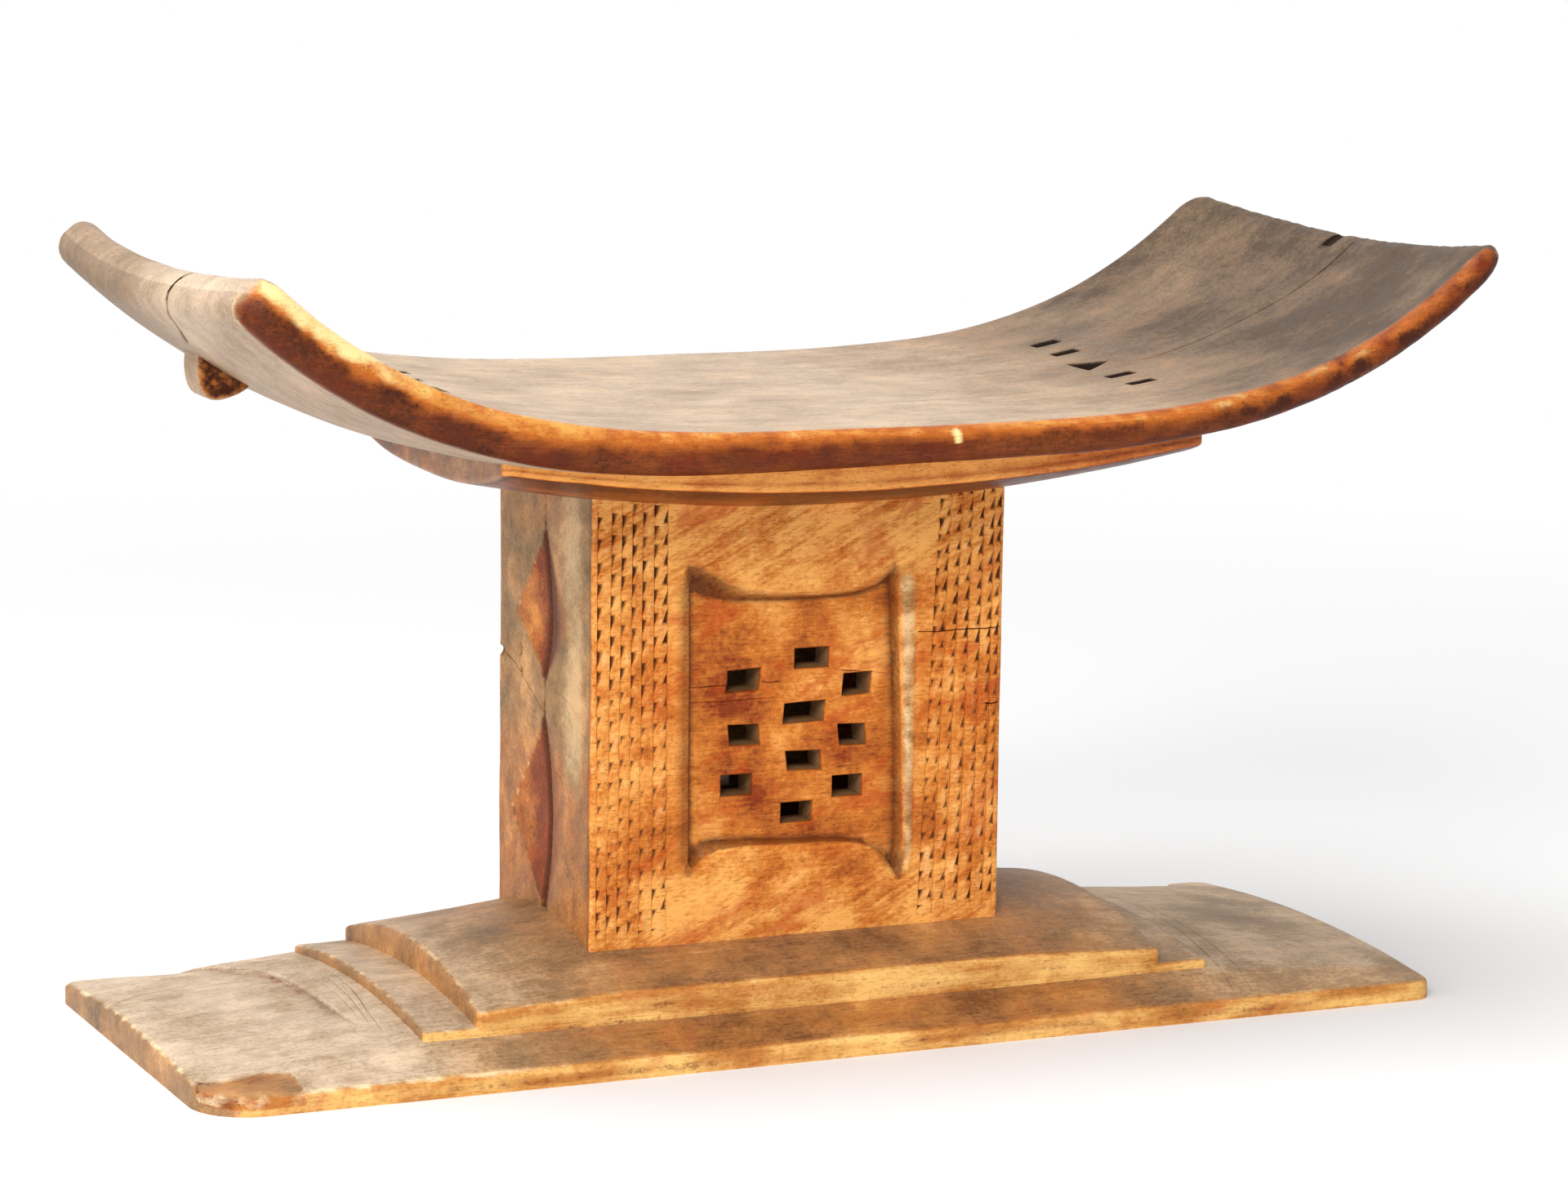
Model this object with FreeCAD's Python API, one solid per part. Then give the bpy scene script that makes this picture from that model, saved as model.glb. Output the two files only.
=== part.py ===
import FreeCAD
import Part
import math
import os

# Carved wooden stool: a curled seat on a hollow column, on a stepped base.
# Millimetres. +X runs along the seat, +Y to the back, +Z up.
# The origin is the centre of the base's underside, where the stool stands.

# Base plank
PLANK_LENGTH = 586.0
PLANK_WIDTH = 222.0
PLANK_EDGE = 8.5
PLANK_END_CROWN = 14.5
PLANK_MIDDLE_CROWN = 25.0
PLANK_CORNER_RADIUS = 10.0
PLANK_WORN_CORNER_RADIUS = 26.0

# The plank's top is bevelled from its thin edge up to the foot of the steps.
BEVEL_WIDTH = 23.0
BEVEL_END_HEIGHT = 10.5
BEVEL_MIDDLE_HEIGHT = 18.5

# Steps
STEPS_SHIFT = -2.0
STEP_WIDTH = 175.0
LOWER_LENGTH = 377.0
LOWER_EDGE_RISE = 3.5
LOWER_CROWN_RISE = 4.5
UPPER_LENGTH = 328.0
UPPER_END_EDGE_RISE = 6.5
UPPER_END_CROWN_RISE = 12.5
UPPER_MIDDLE_EDGE_RISE = 9.5
UPPER_MIDDLE_CROWN_RISE = 22.0

# Column
COLUMN_SHIFT = -4.0
COLUMN_WIDTH = 197.5
COLUMN_DEPTH = 113.0
COLUMN_TUCK = 8.0
SCREEN_WIDTH = 112.0
SCREEN_THICKNESS = 21.0

# Four-horned panel, sunk into each screen
PANEL_SHIFT = -2.5
PANEL_WIDTH = 100.0
PANEL_HEIGHT = 136.0
PANEL_FOOT = 70.0
PANEL_DIP = 12.0
PANEL_DEPTH = 5.5
PANEL_WALL_SLOPE = 2.5

# Pierced holes: three columns, the outer two hanging lower
HOLE_WIDTH = 16.0
HOLE_HEIGHT = 9.3
HOLE_PITCH = 23.2
HOLE_TOP = 166.0
HOLE_COLUMN_PITCH = 27.0
HOLE_SHIFT = 3.0
LEFT_HOLES_DROP = 8.5
RIGHT_HOLES_DROP = 13.0
MIDDLE_HOLES = 4
SIDE_HOLES = 3

# Lozenges in the cheeks
UPPER_LOZENGE_WIDTH = 72.0
UPPER_LOZENGE_HEIGHT = 66.0
UPPER_LOZENGE_MIDDLE = 186.0
LOWER_LOZENGE_WIDTH = 80.0
LOWER_LOZENGE_HEIGHT = 80.0
LOWER_LOZENGE_MIDDLE = 97.0
LOZENGE_DEPTH = 4.0

# Seat
SEAT_LENGTH = 562.0
SEAT_WIDTH = 288.0
SEAT_SHIFT = 8.5
SEAT_TURN_DEGREES = -1.0
SEAT_LOW = 279.5
SEAT_RISE = 73.5
SEAT_CURL_POWER = 3.8
SEAT_LEFT_THICKNESS = 21.0
SEAT_MIDDLE_THICKNESS = 15.5
SEAT_RIGHT_THICKNESS = 12.0
SEAT_MIDDLE_DISH = 2.0
SEAT_END_DISH = 9.0
SEAT_BULGE = 10.0
SEAT_RIGHT_BULGE = 4.0
SEAT_CORNER_RADIUS = 11.0
SEAT_END_ROUND = 9.0
SEAT_EDGE_ROUND = 6.0
SEAT_TIP_GAP = 1.5
SEAT_SPAN_SHARES = (0.0, 0.22, 0.44, 0.62, 0.78, 0.9)

# Slots in a row across each end of the seat, about a three-cornered hole
SLOT_LENGTH = 12.0
SLOT_WIDTH = 8.0
SLOT_REACH = 161.0
SLOT_INNER_PLACE = 36.0
SLOT_OUTER_PLACE = 63.0
SLOT_ROW_SHIFT = 11.0
SLOT_ROW_SKEW_DEGREES = 6.0
CORNER_HOLE_BASE = 24.0
CORNER_HOLE_HEIGHT = 15.0

# Shoulder under the seat
SHOULDER_LENGTH = 328.0
SHOULDER_SHIFT = -2.0
SHOULDER_WIDTH = 204.0
SHOULDER_DROP = 16.5
SHOULDER_END_RISE = 13.5
SHOULDER_MIDDLE_BULGE = 18.0
SHOULDER_END_BULGE = 12.0
SHOULDER_SPAN_SHARES = (-1.0, -0.5, 0.0, 0.5, 1.0)
SHOULDER_EDGE = SEAT_LOW - SEAT_MIDDLE_THICKNESS - SHOULDER_DROP

# Lug under the left end of the seat
LUG_LENGTH = 27.0
LUG_WIDTH = 21.0
LUG_DEPTH = 13.0
LUG_INSET = 38.0
LUG_TUCK = 7.0

# One overrun serves every cut.
OVERRUN = 10.0


def vec(x, y, z):
    return FreeCAD.Vector(x, y, z)


def block(length, width, height, centre_x, centre_y, low):
    corner = vec(centre_x - length / 2, centre_y - width / 2, low)
    return Part.makeBox(length, width, height, corner)


def line(start, end):
    return Part.LineSegment(start, end).toShape()


def arc(start, middle, end):
    return Part.Arc(start, middle, end).toShape()


# A section of a base member across X: flat below, with a crowned top.
def crowned_section(x, half_width, low, edge, crown):
    left_foot = vec(x, -half_width, low)
    right_foot = vec(x, half_width, low)
    right_edge = vec(x, half_width, edge)
    left_edge = vec(x, -half_width, edge)
    edges = [
        line(left_foot, right_foot),
        line(right_foot, right_edge),
        arc(right_edge, vec(x, 0, crown), left_edge),
        line(left_edge, left_foot),
    ]
    return Part.Wire(edges)


def plank_section(x, bevel_height, crown):
    half = PLANK_WIDTH / 2
    bevel = half - BEVEL_WIDTH
    corners = [
        vec(x, bevel, bevel_height),
        vec(x, half, PLANK_EDGE),
        vec(x, half, 0),
        vec(x, -half, 0),
        vec(x, -half, PLANK_EDGE),
        vec(x, -bevel, bevel_height),
    ]
    edges = [line(a, b) for a, b in zip(corners, corners[1:])]
    edges.append(arc(corners[-1], vec(x, 0, crown), corners[0]))
    return Part.Wire(edges)


# The plank seen from above, with its near left corner worn rounder.
def plank_outline():
    x = PLANK_LENGTH / 2
    y = PLANK_WIDTH / 2
    corners = [
        (-x, -y, PLANK_WORN_CORNER_RADIUS),
        (x, -y, PLANK_CORNER_RADIUS),
        (x, y, PLANK_CORNER_RADIUS),
        (-x, y, PLANK_CORNER_RADIUS),
    ]
    edges = []
    ends = []
    for cx, cy, radius in corners:
        sx = math.copysign(1, cx)
        sy = math.copysign(1, cy)
        centre = vec(cx - sx * radius, cy - sy * radius, 0)
        reach = radius / math.sqrt(2)
        on_x = vec(cx, centre.y, 0)
        on_y = vec(centre.x, cy, 0)
        middle = centre + vec(sx * reach, sy * reach, 0)
        first, last = (on_x, on_y) if sx == sy else (on_y, on_x)
        edges.append(arc(first, middle, last))
        ends.append((first, last))
    for (_, last), (first, _) in zip(ends, ends[1:] + ends[:1]):
        edges.append(line(last, first))
    return Part.Wire(Part.sortEdges(edges)[0])


# The plank is crowned beyond the steps and level under them.
def make_plank():
    half = PLANK_LENGTH / 2
    foot = LOWER_LENGTH / 2
    stations = [
        (-half, BEVEL_END_HEIGHT, PLANK_END_CROWN),
        (STEPS_SHIFT - foot, BEVEL_MIDDLE_HEIGHT, PLANK_MIDDLE_CROWN),
        (STEPS_SHIFT + foot, BEVEL_MIDDLE_HEIGHT, PLANK_MIDDLE_CROWN),
        (half, BEVEL_END_HEIGHT, PLANK_END_CROWN),
    ]
    sections = [plank_section(*station) for station in stations]
    body = Part.makeLoft(sections, True, True)
    plan = Part.Face(plank_outline()).extrude(vec(0, 0, PLANK_MIDDLE_CROWN + OVERRUN))
    steps_seat = block(LOWER_LENGTH, PLANK_WIDTH, PLANK_MIDDLE_CROWN, STEPS_SHIFT, 0, BEVEL_MIDDLE_HEIGHT)
    return body.common(plan).cut(steps_seat)


def make_lower_step(plank):
    half = LOWER_LENGTH / 2
    edge = BEVEL_MIDDLE_HEIGHT + LOWER_EDGE_RISE
    crown = PLANK_MIDDLE_CROWN + LOWER_CROWN_RISE
    sections = []
    for x in (-half, half):
        sections.append(crowned_section(STEPS_SHIFT + x, STEP_WIDTH / 2, PLANK_EDGE, edge, crown))
    return Part.makeLoft(sections, True, True).cut(plank)


def make_upper_step(plank, lower_step):
    half = UPPER_LENGTH / 2
    foot = COLUMN_WIDTH / 2
    end_edge = BEVEL_MIDDLE_HEIGHT + UPPER_END_EDGE_RISE + LOWER_EDGE_RISE
    middle_edge = BEVEL_MIDDLE_HEIGHT + UPPER_MIDDLE_EDGE_RISE + LOWER_EDGE_RISE
    end_crown = PLANK_MIDDLE_CROWN + UPPER_END_CROWN_RISE + LOWER_CROWN_RISE
    middle_crown = PLANK_MIDDLE_CROWN + UPPER_MIDDLE_CROWN_RISE + LOWER_CROWN_RISE
    stations = [
        (STEPS_SHIFT - half, end_edge, end_crown),
        (COLUMN_SHIFT - foot, middle_edge, middle_crown),
        (COLUMN_SHIFT + foot, middle_edge, middle_crown),
        (STEPS_SHIFT + half, end_edge, end_crown),
    ]
    sections = [crowned_section(x, STEP_WIDTH / 2, PLANK_EDGE, edge, crown) for x, edge, crown in stations]
    return Part.makeLoft(sections, True, True).cut(lower_step).cut(plank)


# Height of the seat's top edge above its lowest point, and its slope.
def seat_rise(x):
    share = abs(x) / (SEAT_LENGTH / 2)
    return SEAT_RISE * share ** SEAT_CURL_POWER


def seat_slope(x):
    share = abs(x) / (SEAT_LENGTH / 2)
    steepest = SEAT_CURL_POWER * SEAT_RISE / (SEAT_LENGTH / 2)
    return math.copysign(steepest * share ** (SEAT_CURL_POWER - 1), x)


def seat_thickness(x):
    end = SEAT_RIGHT_THICKNESS if x > 0 else SEAT_LEFT_THICKNESS
    share = abs(x) / (SEAT_LENGTH / 2)
    return SEAT_MIDDLE_THICKNESS + (end - SEAT_MIDDLE_THICKNESS) * share


# The underside's bulge between its long edges, which thins out to the right.
def seat_bulge(x):
    share = max(x, 0) / (SEAT_LENGTH / 2)
    return SEAT_BULGE + (SEAT_RIGHT_BULGE - SEAT_BULGE) * share


def seat_dish(x):
    share = abs(x) / (SEAT_LENGTH / 2)
    return SEAT_MIDDLE_DISH + (SEAT_END_DISH - SEAT_MIDDLE_DISH) * share ** 2


# How much of a round of the given radius is there, at a distance from its tip.
def round_share(distance, radius):
    if distance >= radius:
        return 1.0
    return math.sqrt(1 - ((radius - distance) / radius) ** 2)


# A section of the seat, square to its curl at x, with rounded long edges.
def seat_section(x):
    tip = SEAT_LENGTH / 2 - abs(x)
    norm = math.hypot(seat_slope(x), 1)
    up = vec(-seat_slope(x) / norm, 0, 1 / norm)
    thickness = seat_thickness(x)
    lost = thickness * (1 - round_share(tip, SEAT_END_ROUND)) / 2
    half_width = SEAT_WIDTH / 2 - SEAT_CORNER_RADIUS * (1 - round_share(tip, SEAT_CORNER_RADIUS))
    flat = half_width - SEAT_EDGE_ROUND
    edge_top = vec(x, 0, SEAT_LOW + seat_rise(x)) - up * lost
    edge_low = edge_top - up * (thickness - 2 * lost)
    middle = (edge_top + edge_low) / 2
    side = vec(0, 1, 0)
    top_right = edge_top + side * flat
    top_left = edge_top - side * flat
    low_right = edge_low + side * flat
    low_left = edge_low - side * flat
    edges = [
        arc(top_left, edge_top - up * seat_dish(x), top_right),
        arc(top_right, middle + side * half_width, low_right),
        arc(low_right, edge_low - up * seat_bulge(x), low_left),
        arc(low_left, middle - side * half_width, top_left),
    ]
    return Part.Wire(edges)


def seat_stations():
    half = SEAT_LENGTH / 2
    inner = half - SEAT_CORNER_RADIUS
    places = [inner * share for share in SEAT_SPAN_SHARES]
    places += [inner, half - SEAT_END_ROUND, half - SEAT_END_ROUND / 2, half - SEAT_TIP_GAP]
    return [-x for x in reversed(places[1:])] + places


# Places a member that follows the seat: turned a little, and shifted.
def with_seat(shape):
    shape.rotate(vec(0, 0, 0), vec(0, 0, 1), SEAT_TURN_DEGREES)
    shape.translate(vec(SEAT_SHIFT, 0, 0))
    return shape


# The seat before its slots are pierced.
def make_seat_blank():
    sections = [seat_section(x) for x in seat_stations()]
    return with_seat(Part.makeLoft(sections, True, False))


# Four slots about a three-cornered hole, in a row that runs a little askew.
def slot_row(side):
    tall = SEAT_RISE + SEAT_BULGE + 2 * OVERRUN
    low = SEAT_LOW - SEAT_MIDDLE_THICKNESS - SEAT_BULGE - OVERRUN
    middle = vec(side * SLOT_REACH, SLOT_ROW_SHIFT, low)
    skew = math.tan(math.radians(SLOT_ROW_SKEW_DEGREES))
    cutters = []
    for place in (-SLOT_OUTER_PLACE, -SLOT_INNER_PLACE, SLOT_INNER_PLACE, SLOT_OUTER_PLACE):
        centre = middle + vec(place * skew, place, 0)
        cutters.append(block(SLOT_LENGTH, SLOT_WIDTH, tall, centre.x, centre.y, low))
    back = side * CORNER_HOLE_HEIGHT / 2
    corners = [
        middle + vec(-back, -CORNER_HOLE_BASE / 2, 0),
        middle + vec(-back, CORNER_HOLE_BASE / 2, 0),
        middle + vec(back, 0, 0),
    ]
    outline = Part.makePolygon(corners + corners[:1])
    cutters.append(Part.Face(outline).extrude(vec(0, 0, tall)))
    return cutters


def pierce_seat(blank):
    body = blank
    for side in (-1, 1):
        for cutter in slot_row(side):
            body = body.cut(with_seat(cutter))
    return body


# The shoulder reaches up into the seat's thickness, and the seat is cut out of it.
def shoulder_section(x):
    share = abs(x) / (SHOULDER_LENGTH / 2)
    top = SEAT_LOW + seat_rise(x) - SEAT_MIDDLE_THICKNESS / 2
    edge = SHOULDER_EDGE + SHOULDER_END_RISE * share ** 2
    bulge = SHOULDER_MIDDLE_BULGE + (SHOULDER_END_BULGE - SHOULDER_MIDDLE_BULGE) * share ** 2
    half = SHOULDER_WIDTH / 2
    corners = [vec(x, -half, edge), vec(x, -half, top), vec(x, half, top), vec(x, half, edge)]
    edges = [line(a, b) for a, b in zip(corners, corners[1:])]
    edges.append(arc(corners[-1], vec(x, 0, edge - bulge), corners[0]))
    return Part.Wire(edges)


def make_shoulder(blank):
    half = SHOULDER_LENGTH / 2
    sections = [shoulder_section(share * half) for share in SHOULDER_SPAN_SHARES]
    body = Part.makeLoft(sections, True, False)
    body.translate(vec(SHOULDER_SHIFT, 0, 0))
    return with_seat(body).cut(blank)


def make_lug(blank):
    x = LUG_INSET - SEAT_LENGTH / 2
    slope = seat_slope(x)
    norm = math.hypot(slope, 1)
    along = vec(1 / norm, 0, slope / norm)
    down = vec(slope / norm, 0, -1 / norm)
    surface = vec(x, 0, SEAT_LOW + seat_rise(x)) + down * (seat_thickness(x) + seat_bulge(x))
    start = surface - along * (LUG_LENGTH / 2) - vec(0, LUG_WIDTH / 2, 0)
    end = start + along * LUG_LENGTH
    nose = (start + end) / 2 + down * LUG_DEPTH
    tucked_start = start - down * LUG_TUCK
    tucked_end = end - down * LUG_TUCK
    edges = [
        arc(start, nose, end),
        line(end, tucked_end),
        line(tucked_end, tucked_start),
        line(tucked_start, start),
    ]
    body = Part.Face(Part.Wire(edges)).extrude(vec(0, LUG_WIDTH, 0))
    return with_seat(body).cut(blank)


# One lozenge: a four-sided pyramid, sunk into the outer face of a cheek.
def lozenge(side, width, height, middle):
    face = COLUMN_SHIFT + side * COLUMN_WIDTH / 2
    bottom = face - side * LOZENGE_DEPTH
    outside = face + side * OVERRUN
    grow = (LOZENGE_DEPTH + OVERRUN) / LOZENGE_DEPTH
    half = width / 2 * grow
    tall = height / 2 * grow
    rim = [
        vec(outside, half, middle),
        vec(outside, 0, middle + tall),
        vec(outside, -half, middle),
        vec(outside, 0, middle - tall),
    ]
    apex = vec(bottom, 0, middle)
    faces = [Part.Face(Part.makePolygon(rim + rim[:1]))]
    for a, b in zip(rim, rim[1:] + rim[:1]):
        faces.append(Part.Face(Part.makePolygon([a, b, apex, a])))
    return Part.Solid(Part.Shell(faces))


def make_cheek(side, above, below):
    width = (COLUMN_WIDTH - SCREEN_WIDTH) / 2
    centre = COLUMN_SHIFT + side * (SCREEN_WIDTH + width) / 2
    body = column_block(width, COLUMN_DEPTH, centre, 0, above, below)
    body = body.cut(lozenge(side, UPPER_LOZENGE_WIDTH, UPPER_LOZENGE_HEIGHT, UPPER_LOZENGE_MIDDLE))
    return body.cut(lozenge(side, LOWER_LOZENGE_WIDTH, LOWER_LOZENGE_HEIGHT, LOWER_LOZENGE_MIDDLE))


# An upright block that stands on the upper step and carries the shoulder.
def column_block(length, width, centre_x, centre_y, above, below):
    foot = PLANK_MIDDLE_CROWN + LOWER_CROWN_RISE + COLUMN_TUCK
    body = block(length, width, SHOULDER_EDGE - foot, centre_x, centre_y, foot)
    return body.cut(above).cut(below)


# The panel's outline at a distance out from its floor, grown by that much.
def panel_outline(y, grow):
    middle = COLUMN_SHIFT + PANEL_SHIFT
    left = middle - PANEL_WIDTH / 2 - grow
    right = middle + PANEL_WIDTH / 2 + grow
    foot = PANEL_FOOT - grow
    top = PANEL_FOOT + PANEL_HEIGHT + grow
    edges = [
        line(vec(left, y, foot), vec(left, y, top)),
        arc(vec(left, y, top), vec(middle, y, top - PANEL_DIP), vec(right, y, top)),
        line(vec(right, y, top), vec(right, y, foot)),
        arc(vec(right, y, foot), vec(middle, y, foot + PANEL_DIP), vec(left, y, foot)),
    ]
    return Part.Wire(edges)


def panel_cutter():
    face = -COLUMN_DEPTH / 2
    floor = face + PANEL_DEPTH
    slope = PANEL_WALL_SLOPE / PANEL_DEPTH
    outside = face - OVERRUN
    mouth = PANEL_WALL_SLOPE + slope * OVERRUN
    return Part.makeLoft([panel_outline(floor, 0), panel_outline(outside, mouth)], True, True)


def hole_places():
    places = []
    for row in range(MIDDLE_HOLES):
        places.append((HOLE_SHIFT, HOLE_TOP - row * HOLE_PITCH))
    for row in range(SIDE_HOLES):
        places.append((HOLE_SHIFT - HOLE_COLUMN_PITCH, HOLE_TOP - LEFT_HOLES_DROP - row * HOLE_PITCH))
        places.append((HOLE_SHIFT + HOLE_COLUMN_PITCH, HOLE_TOP - RIGHT_HOLES_DROP - row * HOLE_PITCH))
    return places


def make_front_screen(above, below):
    centre_y = -(COLUMN_DEPTH - SCREEN_THICKNESS) / 2
    body = column_block(SCREEN_WIDTH, SCREEN_THICKNESS, COLUMN_SHIFT, centre_y, above, below)
    body = body.cut(panel_cutter())
    deep = SCREEN_THICKNESS + 2 * OVERRUN
    for x, z in hole_places():
        low = z - HOLE_HEIGHT / 2
        body = body.cut(block(HOLE_WIDTH, deep, HOLE_HEIGHT, COLUMN_SHIFT + x, centre_y, low))
    return body


# The back screen's carving is the front's, turned half round about the column's middle.
def make_back_screen(above, below):
    centre_y = (COLUMN_DEPTH - SCREEN_THICKNESS) / 2
    axis = vec(COLUMN_SHIFT, 0, 0)
    body = column_block(SCREEN_WIDTH, SCREEN_THICKNESS, COLUMN_SHIFT, centre_y, above, below)
    cutters = [panel_cutter()]
    deep = SCREEN_THICKNESS + 2 * OVERRUN
    for x, z in hole_places():
        low = z - HOLE_HEIGHT / 2
        cutters.append(block(HOLE_WIDTH, deep, HOLE_HEIGHT, COLUMN_SHIFT + x, -centre_y, low))
    for cutter in cutters:
        cutter.rotate(axis, vec(0, 0, 1), 180)
        body = body.cut(cutter)
    return body


def main():
    plank = make_plank()
    lower_step = make_lower_step(plank)
    upper_step = make_upper_step(plank, lower_step)
    blank = make_seat_blank()
    shoulder = make_shoulder(blank)
    members = {
        "base_plank": plank,
        "lower_step": lower_step,
        "upper_step": upper_step,
        "seat": pierce_seat(blank),
        "seat_shoulder": shoulder,
        "end_lug": make_lug(blank),
        "column_left_cheek": make_cheek(-1, shoulder, upper_step),
        "column_right_cheek": make_cheek(1, shoulder, upper_step),
        "column_front_screen": make_front_screen(shoulder, upper_step),
        "column_back_screen": make_back_screen(shoulder, upper_step),
    }
    os.makedirs("parts", exist_ok=True)
    for name, shape in members.items():
        print(name, len(shape.Solids), "solid, valid:", shape.isValid(), "volume:", round(shape.Volume))
        shape.exportStep("parts/" + name + ".step")


main()
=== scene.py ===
"""Finished surfaces of an old carved stool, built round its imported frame.

Shapes are worked out in millimetres in the frame's own axes and placed in metres.
"""

import logging
import math
from dataclasses import dataclass, field, fields, replace
from enum import Enum
from functools import cached_property
from typing import Callable, Sequence, Union

import bpy
import numpy as np
from mathutils import Matrix, Vector, noise
from mathutils.geometry import delaunay_2d_cdt
from mathutils.kdtree import KDTree


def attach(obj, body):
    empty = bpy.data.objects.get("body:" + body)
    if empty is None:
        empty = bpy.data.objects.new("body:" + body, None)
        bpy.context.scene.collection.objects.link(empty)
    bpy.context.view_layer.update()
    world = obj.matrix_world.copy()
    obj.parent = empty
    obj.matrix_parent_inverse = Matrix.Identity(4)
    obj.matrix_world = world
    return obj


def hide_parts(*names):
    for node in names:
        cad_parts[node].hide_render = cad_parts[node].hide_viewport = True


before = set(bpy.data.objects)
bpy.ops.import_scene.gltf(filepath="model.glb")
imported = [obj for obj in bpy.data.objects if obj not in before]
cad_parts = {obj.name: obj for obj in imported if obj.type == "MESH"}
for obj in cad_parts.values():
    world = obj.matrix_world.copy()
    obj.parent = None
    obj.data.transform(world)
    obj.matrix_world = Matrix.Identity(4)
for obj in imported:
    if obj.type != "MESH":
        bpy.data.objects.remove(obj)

MM = 0.001
BODY = "root"
LOG = logging.getLogger("stool")
CREASE_DEGREES = 32.0
MERGE_GAP = 0.005
SLIVER_AREA = 1e-4
CLEARANCE_SHARE = 0.62
ROW_SHARE = 0.866
TAPER_SHARE = 0.25
SMALLEST_RADIUS = 0.2
VALLEY = -1.0
SIGNS = ((-1, -1), (1, -1), (1, 1), (-1, 1))

Array = np.ndarray
Socket = bpy.types.NodeSocket
Floats = tuple[float, ...]
Point = tuple[float, float]
Span = tuple[float, float]
Draw = tuple[float, float]
Colour = tuple[float, float, float, float]
Line = Sequence[Point]
Number = Union["Value", float]


def srgb(red: int, green: int, blue: int) -> Colour:
    """Turns a screen colour into the linear one that shaders use.

    Args:
        red: Red, from 0 to 255.
        green: Green, from 0 to 255.
        blue: Blue, from 0 to 255.

    Returns:
        The linear colour with full alpha.
    """
    knee, low_slope, offset, power = 0.04045, 12.92, 0.055, 2.4
    shares = [channel / 255 for channel in (red, green, blue)]
    linear = [s / low_slope if s <= knee else ((s + offset) / (1 + offset)) ** power for s in shares]
    return (*linear, 1.0)


def ease(values: Array, low: float, high: float) -> Array:
    """Rises smoothly from 0 at low to 1 at high, which may be the smaller of the two."""
    share = np.clip((values - low) / (high - low), 0, 1)
    return share * share * (3 - 2 * share)


def rough(points: Array, size: float, seed: float = 0.0) -> Array:
    """Draws a smooth value between about -1 and 1 at each point, with bumps of a size in mm."""
    shift = Vector((seed, seed * 2.3, -seed))
    return np.array([noise.noise(Vector(point) / size + shift) for point in points])


class Value:
    """A shader number that adds its Math nodes as expressions are written on it."""

    def __init__(self, shader: "Shader", socket: Socket) -> None:
        """Wraps a socket of the shader."""
        self.shader = shader
        self.socket = socket

    def _math(self, operation: str, *operands: Number) -> "Value":
        """Adds one Math node and gives its result."""
        made = self.shader.node("ShaderNodeMath", {"operation": operation}, dict(enumerate(operands)))
        return Value(self.shader, made.outputs[0])

    def __add__(self, other: Number) -> "Value":
        """Adds."""
        return self._math("ADD", self, other)

    def __radd__(self, other: Number) -> "Value":
        """Adds to a number."""
        return self._math("ADD", other, self)

    def __sub__(self, other: Number) -> "Value":
        """Subtracts."""
        return self._math("SUBTRACT", self, other)

    def __rsub__(self, other: Number) -> "Value":
        """Subtracts from a number."""
        return self._math("SUBTRACT", other, self)

    def __mul__(self, other: Number) -> "Value":
        """Multiplies."""
        return self._math("MULTIPLY", self, other)

    def __rmul__(self, other: Number) -> "Value":
        """Multiplies a number."""
        return self._math("MULTIPLY", other, self)

    def eased(self, low: float, high: float) -> "Value":
        """Rises smoothly from 0 at low to 1 at high.

        Args:
            low: Where the result is 0.
            high: Where the result is 1.

        Returns:
            The eased value.
        """
        settings = {"interpolation_type": "SMOOTHSTEP"}
        inputs = {"Value": self, "From Min": low, "From Max": high}
        return Value(self.shader, self.shader.node("ShaderNodeMapRange", settings, inputs).outputs[0])


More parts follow.
